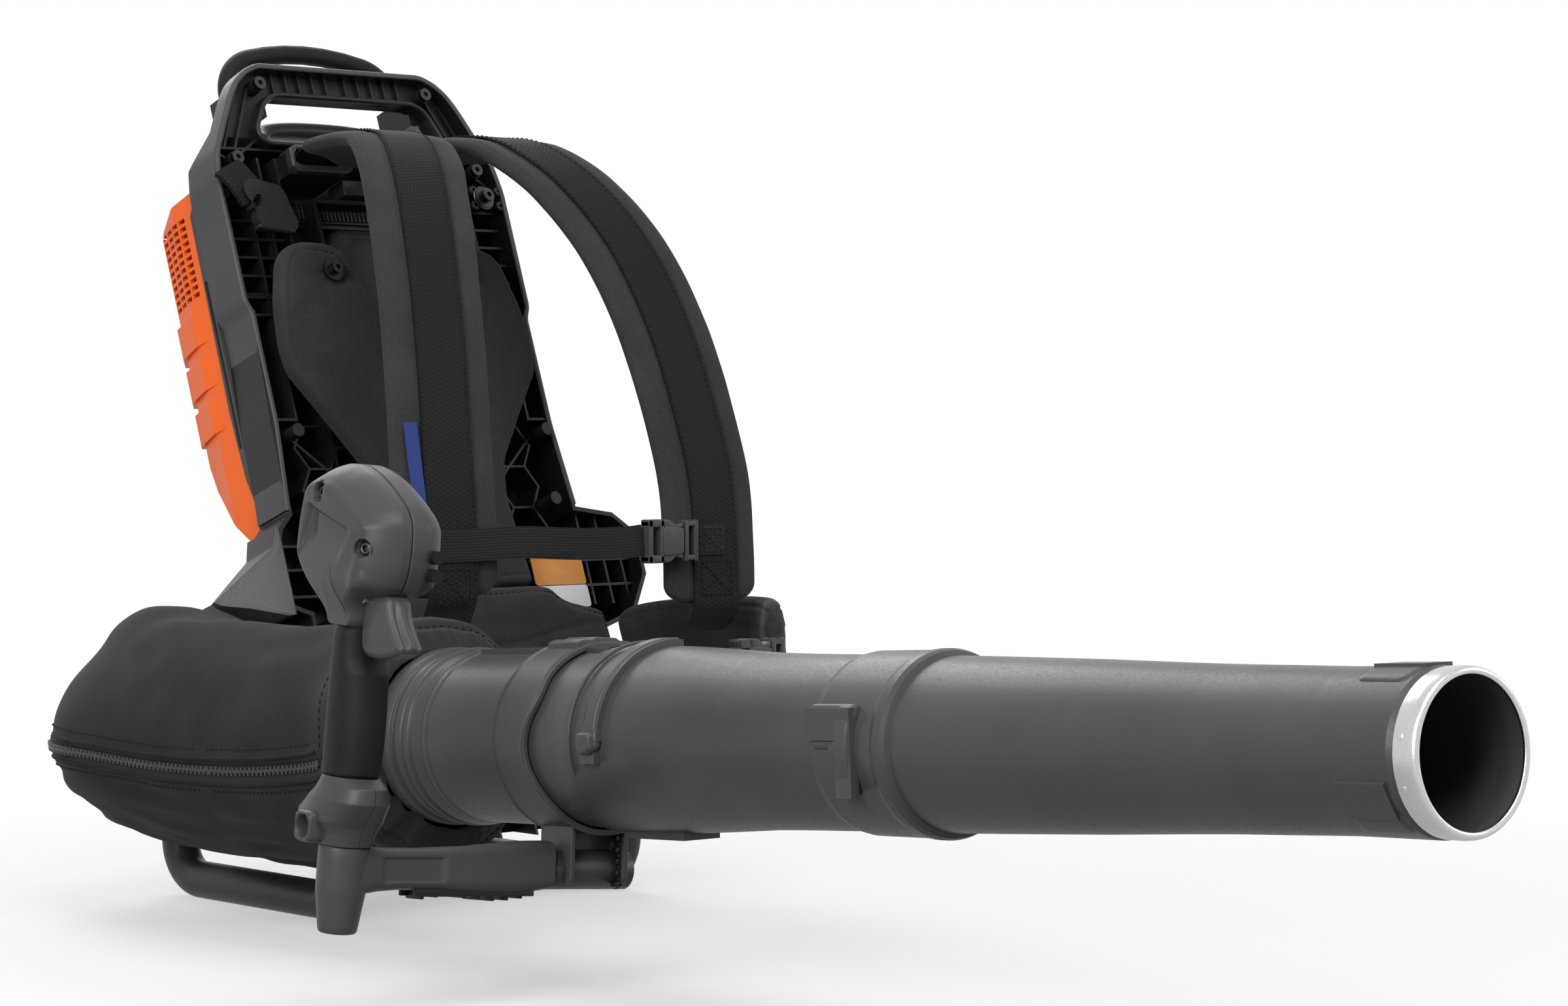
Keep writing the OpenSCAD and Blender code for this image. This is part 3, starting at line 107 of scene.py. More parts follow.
def makeMesh(name, points, faces, uv=None):
    mesh = bpy.data.meshes.new(name)
    mesh.from_pydata(points.tolist(), [], [list(map(int, f)) for f in faces])
    mesh.update()
    if uv is not None:
        layer = mesh.uv_layers.new(name="UVMap")
        index = np.empty(len(mesh.loops), np.int32)
        mesh.loops.foreach_get("vertex_index", index)
        layer.data.foreach_set("uv", uv[index].astype(np.float32).ravel())
    return mesh


def finishPiece(name, mesh, tone, body, replaces=(), sharp=38):
    work = bmesh.new()
    work.from_mesh(mesh)
    bmesh.ops.recalc_face_normals(work, faces=work.faces)
    work.to_mesh(mesh)
    work.free()
    mesh.polygons.foreach_set("use_smooth", np.ones(len(mesh.polygons), bool))
    mesh.set_sharp_from_angle(angle=math.radians(sharp))
    mesh.materials.clear()
    mesh.materials.append(finish[tone])
    piece = bpy.data.objects.new(name, mesh)
    bpy.context.scene.collection.objects.link(piece)
    if isinstance(body, str):
        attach(piece, body)
    if replaces:
        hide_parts(*replaces)
    return piece


def skinned(rings, closeRings=False, closeLoop=True, caps=True):  # points and faces of a grid of rings
    n, m = rings.shape[:2]
    faces = list(gridQuads(n, m, closeRings, closeLoop))
    if caps and not closeRings:
        faces += [range(m), range((n - 1) * m, n * m)]
    return rings.reshape(-1, 3), faces


def ringPiece(name, rings, place, tone, body, slot, replaces=(), sharp=38, **how):
    points, faces = skinned(rings, **how)
    return finishPiece(name, makeMesh(name, toRow(points, place), faces), tone, body, replaces, sharp)


def joined(parts):  # several (points, faces) as one
    points, faces, start = [], [], 0
    for p, f in parts:
        points.append(p)
        faces += [[int(k) + start for k in face] for face in f]
        start += len(p)
    return np.concatenate(points), faces


def partsPiece(name, parts, place, tone, body, replaces=(), sharp=38):
    points, faces = joined(parts)
    return finishPiece(name, makeMesh(name, toRow(points, place), faces), tone, body, replaces, sharp)


def unit(rows):  # each row at length one
    return rows / np.linalg.norm(rows, axis=1, keepdims=True)


def fullTurn(n):  # n even angles round a circle
    return np.arange(n) * 2 * math.pi / n


def lengthsOf(path):  # run along a path up to each point
    return np.concatenate([[0], np.cumsum(np.linalg.norm(np.diff(path, axis=0), axis=1))])


def sampled(s, run, values):  # every column of values read at s
    return np.stack([np.interp(s, run, values[:, k]) for k in range(values.shape[1])], -1)


def signedArea(q):  # twice the area of a closed outline, positive when it runs anticlockwise
    return np.sum(q[:, 0] * np.roll(q[:, 1], -1) - np.roll(q[:, 0], -1) * q[:, 1])


def bell(x, width):  # 1 in the middle, falling to nothing either side
    return np.exp(-((x / width) ** 2))


def signedPower(x, power):
    return np.sign(x) * np.abs(x) ** power


def fillet(outline, radius, steps=5):  # closed outline, each corner swapped for a quadratic curve
    p = np.asarray(outline, float)
    before, after = np.roll(p, 1, 0) - p, np.roll(p, -1, 0) - p
    lb, la = np.linalg.norm(before, axis=1, keepdims=True), np.linalg.norm(after, axis=1, keepdims=True)
    r = np.broadcast_to(np.asarray(radius, float).reshape(-1, 1), lb.shape)
    reach = np.minimum(r, np.minimum(lb, la) * 0.48)
    a, b = p + before / lb * reach, p + after / la * reach
    t = np.linspace(0, 1, steps)[None, :, None]
    return ((1 - t) ** 2 * a[:, None] + 2 * t * (1 - t) * p[:, None] + t**2 * b[:, None]).reshape(-1, 2)


def smoothPath(points, n):  # Catmull-Rom curve through the points, n samples at even parameter steps
    p = np.asarray(points, float)
    u = np.linspace(0, len(p) - 1, n)
    i = np.minimum(u.astype(int), len(p) - 2)
    t = (u - i)[:, None]
    a, b = p[np.maximum(i - 1, 0)], p[i]
    c, d = p[i + 1], p[np.minimum(i + 2, len(p) - 1)]
    return (2 * b + (c - a) * t + (2 * a - 5 * b + 4 * c - d) * t**2 + (3 * b - a - 3 * c + d) * t**3) / 2


def evenPath(points, n):  # the same curve at even lengths
    fine = smoothPath(points, 1200)
    run = lengthsOf(fine)
    s = np.linspace(0, run[-1], n)
    return sampled(s, run, fine), s


def tangents(path):
    return unit(np.gradient(path, axis=0))


def squareTo(direction, f):  # unit part of a direction that is square to each tangent
    d = np.asarray(direction, float)
    return unit(d - f * (f @ d)[:, None])


def sweep(path, section, across):  # section (m, 2) or (n, m, 2): x lies along across, y along the normal
    f = tangents(path)
    a = squareTo(across, f)
    normal = np.cross(f, a)
    s = np.broadcast_to(section, (len(path),) + np.shape(section)[-2:])
    return path[:, None] + a[:, None] * s[..., :1] + normal[:, None] * s[..., 1:]


def inward(outline):  # unit normals of a closed outline, pointing left of its run
    t = np.roll(outline, -1, 0) - np.roll(outline, 1, 0)
    t /= np.maximum(np.linalg.norm(t, axis=1, keepdims=True), 1e-9)
    return np.stack([-t[:, 1], t[:, 0]], 1)


def slab(outline, low, high, edge=1.0, steps=3, order=(0, 1, 2)):
    # outline extruded from low to high with its rims rounded by edge; order says which axis each goes to
    q = np.asarray(outline, float)
    area = signedArea(q)
    q = q if area > 0 else q[::-1]
    a = np.linspace(0, math.pi / 2, steps + 1)
    shrink, rise = edge * (1 - np.sin(a)), edge * (1 - np.cos(a))
    levels = np.concatenate([low + rise, (high - rise)[::-1]])
    shrinks = np.concatenate([shrink, shrink[::-1]])
    flat = q[None] + inward(q)[None] * shrinks[:, None, None]
    flat = np.concatenate([flat, np.broadcast_to(levels[:, None, None], flat.shape[:2] + (1,))], 2)
    return skinned(flat[..., list(order)])


def box(lowCorner, highCorner, round=2.0, edge=0.8, axis=2):  # softened block
    lo, hi = np.asarray(lowCorner, float), np.asarray(highCorner, float)
    u, v = [k for k in range(3) if k != axis]
    outline = fillet([[lo[u], lo[v]], [hi[u], lo[v]], [hi[u], hi[v]], [lo[u], hi[v]]], round, 4)
    order = {2: (0, 1, 2), 1: (0, 2, 1), 0: (2, 0, 1)}[axis]
    return slab(outline, lo[axis], hi[axis], edge, 2, order)


def turned(part, place):  # moves (points, faces) by a (shift, matrix)
    points, faces = part
    return points @ np.asarray(place[1]).T + np.asarray(place[0]), faces


def lathe(profile, seg=144, axis=2, centre=(0, 0)):  # closed profile of (along, radius) turned round
    p = np.asarray(profile, float)
    w = fullTurn(seg)
    x = p[:, 1:2] * np.cos(w) + centre[0]
    y = p[:, 1:2] * np.sin(w) + centre[1]
    z = np.broadcast_to(p[:, :1], x.shape)
    rings = np.stack([x, y, z], -1)
    if axis == 1:
        rings = rings[..., [0, 2, 1]]
    if axis == 0:
        rings = rings[..., [2, 0, 1]]
    return skinned(rings, closeRings=True)


def rod(r, low, high, axis=2, centre=(0, 0), edge=0.6, seg=40):  # solid round bar
    e = min(edge, (high - low) * 0.4, r * 0.6)
    profile = [[low, 0.01], [low, r - e], [low + e * 0.3, r - e * 0.3], [low + e, r], [high - e, r],
               [high - e * 0.3, r - e * 0.3], [high, r - e], [high, 0.01]]
    return lathe(profile, seg, axis, centre)


def superEllipse(a, b, power, m, start=0.0):  # closed curve |x/a|^p + |y/b|^p = 1
    w = start + fullTurn(m)
    c, s = np.cos(w), np.sin(w)
    return np.stack([a * signedPower(c, 2 / power), b * signedPower(s, 2 / power)], -1)


def edgeDistance(points, outline):  # distance of each point to a closed outline
    a, b = outline, np.roll(outline, -1, 0)
    best = np.full(len(points), 1e9)
    for p, q in zip(a, b):
        d = q - p
        t = np.clip(((points - p) @ d) / max(d @ d, 1e-9), 0, 1)
        best = np.minimum(best, np.linalg.norm(points - p - t[:, None] * d, axis=1))
    return best


def padRows(outline, rows, columns):
    # outline cut into level rows, each a run from its left side to its right: x = middle - half * cos(pi j / m)
    q = np.asarray(outline, float)
    low, high = q[:, 1].min(), q[:, 1].max()
    t = (1 - np.cos(np.linspace(0.04, math.pi - 0.04, rows))) / 2
    w = low + (high - low) * t
    left, right = np.empty(rows), np.empty(rows)
    a, b = q, np.roll(q, -1, 0)
    for k, level in enumerate(w):
        hit = (a[:, 1] - level) * (b[:, 1] - level) <= 0
        rise = b[hit, 1] - a[hit, 1]
        x = a[hit, 0] + (b[hit, 0] - a[hit, 0]) * np.where(abs(rise) > 1e-9,
            (level - a[hit, 1]) / np.where(abs(rise) > 1e-9, rise, 1), 0)
        left[k], right[k] = x.min(), x.max()
    c = -np.cos(np.linspace(0, math.pi, columns))
    x = (left + right)[:, None] / 2 + (right - left)[:, None] / 2 * c
    return x, np.broadcast_to(w[:, None], x.shape)


def smoothStep(x, low, high):
    t = np.clip((x - low) / (high - low), 0, 1)
    return t * t * (3 - 2 * t)


# ---- finishes
def newMaterial(name):  # material, its node tree and its surface node
    material = bpy.data.materials.new(name)
    material.use_nodes = True
    net = material.node_tree
    return material, net, net.nodes["Principled BSDF"]


def noise(net, source, scale, detail=2.0, rough=0.5):
    n = net.nodes.new("ShaderNodeTexNoise")
    n.inputs["Scale"].default_value = scale
    n.inputs["Detail"].default_value = detail
    n.inputs["Roughness"].default_value = rough
    net.links.new(source, n.inputs["Vector"])
    return n.outputs["Fac"]


def ramp(net, source, low, high, a, b):
    r = net.nodes.new("ShaderNodeMapRange")
    for key, value in (("From Min", low), ("From Max", high), ("To Min", a), ("To Max", b)):
        r.inputs[key].default_value = value
    net.links.new(source, r.inputs["Value"])
    return r.outputs["Result"]


def blendColour(net, factor, first, second):
    m = net.nodes.new("ShaderNodeMix")
    m.data_type = "RGBA"
    m.inputs[6].default_value = (*first, 1)
    m.inputs[7].default_value = (*second, 1)
    net.links.new(factor, m.inputs[0])
    return m.outputs[2]


def maths(net, operation, a, b=None):
    m = net.nodes.new("ShaderNodeMath")
    m.operation = operation
    for socket, value in zip(m.inputs, (a, b)):
        if value is None:
            continue
        if isinstance(value, (int, float)):
            socket.default_value = value
        else:
            net.links.new(value, socket)
    return m.outputs[0]


def bumpOf(net, shader, height, strength, distance):
    b = net.nodes.new("ShaderNodeBump")
    b.inputs["Strength"].default_value = strength
    b.inputs["Distance"].default_value = distance
    net.links.new(height, b.inputs["Height"])
    net.links.new(b.outputs["Normal"], shader.inputs["Normal"])


def tint(net, shader, factor, low, high, dark, light):  # base colour runs from dark to light with the factor
    net.links.new(blendColour(net, ramp(net, factor, low, high, 0, 1), dark, light), shader.inputs["Base Color"])


def moulded(name, colour, rough=0.45, grain=900.0, depth=0.00012, vary=0.12, spec=0.26):
    # moulded plastic: spark-eroded grain in the bump, faint cloudiness in colour and gloss
    material, net, shader = newMaterial(name)
    where = net.nodes.new("ShaderNodeTexCoord").outputs["Object"]
    fine, broad = noise(net, where, grain, 3.0), noise(net, where, 14.0, 3.0)
    dark = [c * (1 - vary) for c in colour]
    light = [min(1, c * (1 + vary)) for c in colour]
    tint(net, shader, broad, 0.3, 0.7, dark, light)
    net.links.new(ramp(net, fine, 0.3, 0.7, rough - 0.06, rough + 0.08), shader.inputs["Roughness"])
    shader.inputs["Specular IOR Level"].default_value = spec
    bumpOf(net, shader, fine, 0.35, depth)
    return material


def foamCloth(name, colour, scale=1500.0):
    # felted face cloth: speckled fibres, soft sheen
    material, net, shader = newMaterial(name)
    where = net.nodes.new("ShaderNodeTexCoord").outputs["Object"]
    speck, cloud = noise(net, where, scale, 4.0, 0.7), noise(net, where, 30.0, 3.0)
    mixed = maths(net, "ADD", maths(net, "MULTIPLY", speck, 0.8), maths(net, "MULTIPLY", cloud, 0.2))
    tint(net, shader, mixed, 0.36, 0.64, [c * 0.55 for c in colour], [c * 1.5 for c in colour])
    shader.inputs["Roughness"].default_value = 0.92
    shader.inputs["Specular IOR Level"].default_value = 0.14
    shader.inputs["Sheen Weight"].default_value = 0.08
    shader.inputs["Sheen Roughness"].default_value = 0.5
    bumpOf(net, shader, speck, 0.5, 0.0003)
    return material


def woven(name, colour, pitch=0.0018, alongU=0.0026, gloss=0.75, depth=0.0004):
    # plain weave from the piece's own UV map in metres: warp ridges crossed by weft, offset every other row
    material, net, shader = newMaterial(name)
    uv = net.nodes.new("ShaderNodeUVMap").outputs["UV"]
    split = net.nodes.new("ShaderNodeSeparateXYZ")
    net.links.new(uv, split.inputs[0])
    u = maths(net, "MULTIPLY", split.outputs[0], 2 * math.pi / alongU)
    v = maths(net, "MULTIPLY", split.outputs[1], 2 * math.pi / pitch)
    halfV = maths(net, "MULTIPLY", v, 0.5)
    rib = maths(net, "ABSOLUTE", maths(net, "SINE", halfV))
    phase = maths(net, "MULTIPLY", maths(net, "FLOOR", maths(net, "DIVIDE", halfV, math.pi)), math.pi)
    step = maths(net, "ABSOLUTE", maths(net, "SINE", maths(net, "MULTIPLY", maths(net, "ADD", u, phase), 0.5)))
    height = maths(net, "MULTIPLY", rib, step)
    where = net.nodes.new("ShaderNodeTexCoord").outputs["Object"]
    fuzz = noise(net, where, 2500.0, 2.0)
    # colour follows the weave height: painted shade in the hollows between threads and painted highlight on their
    # crowns, mixed with random fibre fuzz
    tone = maths(net, "ADD", maths(net, "MULTIPLY", height, 0.75), maths(net, "MULTIPLY", fuzz, 0.25))
    tint(net, shader, tone, 0.1, 0.9, [c * 0.25 for c in colour], [c * 1.7 for c in colour])
    shader.inputs["Roughness"].default_value = gloss
    shader.inputs["Specular IOR Level"].default_value = 0.2
    bumpOf(net, shader, height, 0.8, depth)
    return material


def metal(name, colour, rough):
    material, net, shader = newMaterial(name)
    where = net.nodes.new("ShaderNodeTexCoord").outputs["Object"]
    fine = noise(net, where, 1200.0, 2.0)
    tint(net, shader, fine, 0.3, 0.7, [c * 0.92 for c in colour], colour)
    net.links.new(ramp(net, fine, 0.3, 0.7, rough * 0.8, rough * 1.2), shader.inputs["Roughness"])
    shader.inputs["Metallic"].default_value = 1.0
    bumpOf(net, shader, fine, 0.1, 0.00005)
    return material


finish = {
    "grey": moulded("greyMoulding", (0.05, 0.05, 0.051), 0.4),
    "pipe": moulded("pipeMoulding", (0.052, 0.052, 0.0535), 0.36, 700.0, 0.00012),
    # near-black used only as painted shade inside the lifter buckle's mouth
    "paintedShade": moulded("paintedShadeBlack", (0.006, 0.006, 0.0065), 0.5, 700.0, spec=0.25),
    "teeth": moulded("zipMoulding", (0.07, 0.07, 0.072), 0.35, 900.0),
    "black": moulded("blackMoulding", (0.007, 0.007, 0.0075), 0.4, 700.0),
    "frame": moulded("frameMoulding", (0.009, 0.009, 0.0095), 0.38, 600.0),
    "dark": moulded("darkMoulding", (0.018, 0.018, 0.019), 0.4, 700.0),
    "greyFrame": moulded("skirtMoulding", (0.058, 0.058, 0.059), 0.4, 800.0),
    "rim": moulded("rimMoulding", (0.03, 0.03, 0.031), 0.42, 700.0),
    "orange": moulded("orangeMoulding", (1.0, 0.15, 0.012), 0.34, 900.0, 0.00005, 0.03),
    "rubber": moulded("softGrip", (0.009, 0.009, 0.0095), 0.55, 1300.0, spec=0.16),
    "buckle": moulded("buckleMoulding", (0.05, 0.05, 0.052), 0.36, 800.0),
    "foam": foamCloth("foamCloth", (0.033, 0.033, 0.0335)),
    "cover": foamCloth("coverCloth", (0.021, 0.021, 0.0215), 1900.0),
    "binding": foamCloth("bindingTape", (0.011, 0.011, 0.0115), 1700.0),
    "webbing": woven("blackWebbing", (0.011, 0.011, 0.0115)),
    "mesh": woven("spacerMesh", (0.005, 0.005, 0.0054), 0.003, 0.003, 0.75, 0.0004),
    "stitch": moulded("greyThread", (0.03, 0.03, 0.031), 0.7, 2500.0),
    "thread": moulded("blackThread", (0.008, 0.008, 0.009), 0.8, 2500.0),
    "steel": metal("turnedSteel", (0.6, 0.6, 0.605), 0.24),
    "screw": metal("blackScrew", (0.06, 0.06, 0.062), 0.35),
    "motor": metal("castAluminium", (0.45, 0.45, 0.46), 0.45),
    "board": moulded("circuitBoard", (0.02, 0.09, 0.04), 0.4),
    "tag": woven("blueTape", (0.09, 0.16, 0.62), 0.001, 0.001, 0.7, 0.0001),
    "label": moulded("plainLabel", (0.8, 0.8, 0.8), 0.35, 300.0, 0.00002, 0.02),
    "labelOrange": moulded("plainLabelOrange", (0.75, 0.3, 0.06), 0.35, 300.0, 0.00002, 0.02),
}
slotFinish = {
    "frame_black": "frame", "grey_moulding": "grey", "pipe_grey": "pipe", "orange": "orange",
    "rubber_black": "rubber", "foam_cloth": "foam", "webbing": "webbing", "cover_cloth": "cover",
    "buckle_grey": "buckle", "steel": "steel", "black_screw": "screw", "motor": "motor",
    "board": "board", "tag": "tag",
}
for part in frame["record"]["subparts"]:
    node = frame["nodes"][part["node"]]
    node.data.materials.clear()
    node.data.materials.append(finish[slotFinish[part["material_slot"]]])
print("finishes made")


# ---- blower pipe, in its own axes: x inboard, y up, z forward; angles run from the top to the wearer's outer side
def wrapPad(outline, r, high, edge=2.0, rows=40, columns=40, sink=0.8):
    # outline in (arc length, forward) raised off a tube: rounded by h = high * sqrt(1 - (1 - d/edge)^2)
    q = np.asarray(outline, float)
    a, s = padRows(q, rows, columns)
    d = edgeDistance(np.stack([a.ravel(), s.ravel()], 1), q).reshape(a.shape)
    h = high * np.sqrt(1 - (1 - np.clip(d / edge, 0, 1)) ** 2)
    up, down = r + h, r - sink + 0 * h

    def at(radius):
        return np.stack([-radius * np.sin(a / r), radius * np.cos(a / r), s], -1)

    return skinned(np.concatenate([at(up), at(down)[:, -2:0:-1]], 1))


def bandPatch(angles, low, high, inner, outer, edge=0.9, across=26):
    # strip round a tube between two edges that follow the angle, with a raised line along each edge
    v = (1 - np.cos(np.linspace(0, math.pi, across))) / 2
    s = low[:, None] + (high - low)[:, None] * v
    gapTo = np.minimum(s - low[:, None], high[:, None] - s)
    top = outer - edge * (1 - np.sqrt(1 - (1 - np.clip(gapTo / edge, 0, 1)) ** 2)) + 0.7 * bell(gapTo - 1.6, 0.8)
    c, d = -np.sin(angles)[:, None], np.cos(angles)[:, None]
    face = np.stack([top * c, top * d, s], -1)
    back = np.stack([inner * c + 0 * s, inner * d + 0 * s, s], -1)
    return skinned(np.concatenate([face, back[:, ::-1]], 1))


tube = {
    "cuff": [[-62, 45.4], [-62, 47.4], [-61, 48], [-46, 48.2], [-36, 48.6], [-31, 50.2], [-27, 51.4], [-22, 51.8],
             [-16.6, 51.6],
             [-14.4, 51], [-13.6, 49], [-12.2, 48.6], [-11.2, 50.4], [-8, 50.9], [-3.5, 50.7], [-2.6, 49.4], [-1.4,
                 49.4],
             [-0.6, 50.6], [1.5, 51.4], [4.4, 51.3], [5.6, 50.3], [6.2, 49.3], [7.2, 49.2], [8, 50.2], [9.6,
                 50.9], [12, 50.6],
             [15, 49.9], [17.6, 49.6], [17.6, 46.2], [0, 45.9]],
    "lugS": 366.6, "tipS": 741.5,
}


def makePipe():
    ringPiece("swivelCuff", lathe(fillet(tube["cuff"], 0.5, 3), 180)[0].reshape(-1, 180, 3), pipe, "pipe", "cuff",
              "pipe_grey", ("swivel_cuff",), 40, closeRings=True)


makePipe()


lugShape = {  # each lug as its outline and how far it rises
    "radius": 46.9, "strapRadius": 52.2, "tipRadius": 36.4,
    "lugs": (
        ([[-21, 24], [21, 23], [24, 25], [25, 29], [23, 33], [-21, 36]], 4.4),
        ([[-22, 2], [-14, 2], [-14, 36], [-22, 36]], 3.6), ([[-5, 4], [0, 4], [0, 21], [-5, 21]], 1.6),
        ([[-5, 16], [17, 17], [17, 21], [-5, 21.5]], 1.6),
    ),
    "tipPad": [[-8, -33], [8, -33], [9, -8], [6, -4], [-6, -4], [-9, -8]],
}


def makeLugs():
    parts = []
    for base in (math.pi / 2, math.pi * 1.5):
        r = lugShape["radius"]
        arc = base * r
        turnTo = 1 if base < 3 else -1
        for shape, rise in lugShape["lugs"]:
            parts.append(wrapPad(fillet(np.array(shape) * [turnTo, 1] + [arc, tube["lugS"]], 2.4, 5), r, rise, 2.2,
                                 44, 50))
    pad = lugShape["tipPad"]
    for k in range(3):
        arc = (math.radians(20 + 120 * k)) * 36.6
        parts.append(wrapPad(fillet(np.array(pad) + [arc, tube["tipS"]], 2.5, 5), lugShape["tipRadius"], 1.5, 3.0,
                             40, 30))
    partsPiece("bayonetLugs", parts, pipe, "pipe", "nozzle", (), 45)
    # raised strap round the rear of the main tube, ending in a boss on the outer side
    r = lugShape["strapRadius"]
    strap = [[-0.12 * r, 183], [1.36 * r, 183.6], [1.5 * r, 181], [1.62 * r, 182], [1.66 * r, 188], [1.62 * r, 195],
             [1.5 * r, 196], [1.36 * r, 194], [-0.12 * r, 194]]
    parts = [wrapPad(fillet(strap, 2.4, 5), r, 2.6, 1.8, 60, 150)]
    boss = [[1.44 * r, 180.5], [1.62 * r, 180.5], [1.67 * r, 184], [1.67 * r, 191], [1.62 * r, 194.5],
            [1.44 * r, 194.5]]
    parts.append(wrapPad(fillet(boss, 3, 5), r, 5.6, 2.2, 40, 40))
    edge = [[-0.9 * r, 167.5], [1.9 * r, 167.5], [1.9 * r, 169.4], [-0.9 * r, 169.4]]
    parts.append(wrapPad(edge, r + 0.4, 1.0, 0.9, 14, 260))
    partsPiece("strapRib", parts, pipe, "pipe", "pipe", (), 45)


makeLugs()


def makeRing():  # polished mouth ring with a rolled lip
    s0 = tube["tipS"] + 0.03
    profile = [[s0, 35.4], [s0, 36.2], [s0 + 0.5, 36.6], [s0 + 8.5, 36.75], [s0 + 11.4, 36.5], [s0 + 12.5, 35.9],
               [s0 + 13, 34.9],
               [s0 + 12.9, 33.6], [s0 + 12.2, 32.9], [s0 + 10.8, 32.9], [s0 + 10.7, 35.3]]
    ringPiece("mouthRing", lathe(fillet(profile, 0.5, 4), 200)[0].reshape(-1, 200, 3), pipe, "steel", "nozzle",
              "steel", ("steel_ring",), 40, closeRings=True)
    w = math.radians(76)
    dents = [turned(rod(1.7, 36.2, 36.95, 1, (0, 0), 0.3, 30),
                    ([0, 0, s0 + z], turn("z", math.degrees(w + k)))) for k, z in ((0, 4.2), (1.9, 4.2), (3.8, 4.2),
                        (0.62, 4.2))]
    partsPiece("ringDimples", dents, pipe, "steel", "nozzle", (), 40)


makeRing()


clampShape = {
    "housing": [[-20, 0], [-20, 9], [-15.5, 10.6], [-9, 10.8], [-7, 12.2], [7, 12.2], [9, 10.8], [15.5, 10.6],
                [20, 9], [20, 0]],
    "leg": [[-20.6, -42], [-19.5, -62], [-20.6, -72], [-20.6, -82], [17.6, -82], [17.8, -70], [15.5, -58],
            [18.6, -40], [6, -49], [-8, -49]],
    "toothX": 13.6, "toothPitch": 3.2, "toothShift": 0.9,
}


def makeClamp():  # band over the rail tube, housing above it, leg down to the arm's socket
    n = 220
    w = np.linspace(-math.pi, math.pi, n)
    low = 95.5 + 0 * w - 1.2 * bell(w - 1.5, 0.3)
    high = 130.5 + 3.0 * bell(w - 1.15, 0.22) - 5.0 * bell(w - 1.75, 0.4) + 1.5 * bell(w - 2.5, 0.3)
    parts = [bandPatch(w, low, high, 50.15, 52.9)]
    parts.append(slab(fillet(np.array(clampShape["housing"]) + [0, 43.5], 1.6, 5), 98.5, 127.5, 1.4, 3))
    leg = fillet(clampShape["leg"], 3, 6)
    parts.append(slab(leg, 104.5, 113.5, 1.2, 3))
    for x in (-20.6, 14.8):
        parts.append(box([x, -80, 98], [x + 3, -40, 128], 4, 0.8, 0))
    for y in (-56, -66):
        parts.append(box([-18.5, y, 100], [15.5, y + 1.8, 112], 0.8, 0.5, 1))
    parts.append(turned(lathe([[-27.6, 8.3], [-27.6, 10], [-26.8, 10.9], [17.6, 10.9], [18.6, 10], [18.6, 8.3]], 72,
                              0), ([0, -72.5, 113], np.eye(3))))
    partsPiece("clampBand", parts, clamp, "grey", "bracket", ("clamp_band",), 45)
    # toothed face on the inner side of the socket: teeth in the plane of the joint
    parts, x, pitch = [], clampShape["toothX"], clampShape["toothPitch"]
    for k in range(9):
        shift = clampShape["toothShift"] * (1 if k % 2 else -1)
        low, high = [x - 1.5 + shift, -82 + k * pitch, 121], [x + 1.5 + shift, -79 + k * pitch, 125.6]
        parts.append(box(low, high, 0.7, 0.4))
    partsPiece("clampTeeth", parts, clamp, "black", "bracket", (), 30)


makeClamp()
print("pipe made")


# ---- control handle, in the grip's own axes: x inboard, y up the grip, z forward
headShape = {
    "side": [[-14, 127.4], [-17.5, 135], [-27, 144], [-39, 155], [-44, 163], [-44, 180], [-40.5, 199], [-34, 207],
             [-21, 213.4],
             [-10, 213.6], [4, 209.6], [14, 205], [24, 199.6], [34, 193], [39.6, 186], [41, 174], [39.8,
                 160], [35.5, 151],
             [30, 146.6], [19, 144.2], [11, 139], [9.2, 127.4]],
    "half": 23.0, "screws": [[-19, 198], [27.5, 171]], "recess": 4.9,
}


def closedEven(outline, n):  # closed outline at even lengths
    p = np.concatenate([outline, outline[:1]])
    run = lengthsOf(p)
    s = np.linspace(0, run[-1], n, endpoint=False)
    return sampled(s, run, p)


def relief(z, g):  # outer face: sunk panel below the ridge, screw recesses, dish towards the neck
    def side(a, b):  # signed distance, positive right of the line a to b
        d = np.array(b, float) - a
        d /= np.linalg.norm(d)
        return (z - a[0]) * d[1] - (g - a[1]) * d[0]

    upper = smoothStep(side((-29, 192), (18, 180)), 0, 3.2)
    left = smoothStep(-side((-28.5, 193), (-35.5, 163)), -0.5, 1.8)
    right = smoothStep(-side((4, 152), (17, 181)), -1, 5)
    sunk = 2.6 * upper * left * right * (1 - smoothStep(-g, -176, -158) * 0.95)
    facet = 1.7 * bell(z + 25.5, 4.5) * smoothStep(g, 168, 178) * upper
    ridge = 1.3 * bell(side((-12, 199), (30, 184)), 5.5) * smoothStep(z, -22, -8)
    ridge += 0.9 * bell(side((30, 182), (19, 146)), 3.6) * smoothStep(-g, -176, -160) * smoothStep(z, 8, 16)
    holes = np.zeros_like(z)
    for sz, sg in headShape["screws"]:
        holes += 4.6 * (1 - smoothStep(np.hypot(z - sz, g - sg), headShape["recess"] - 0.5, headShape["recess"]))
    return sunk + facet - ridge + holes


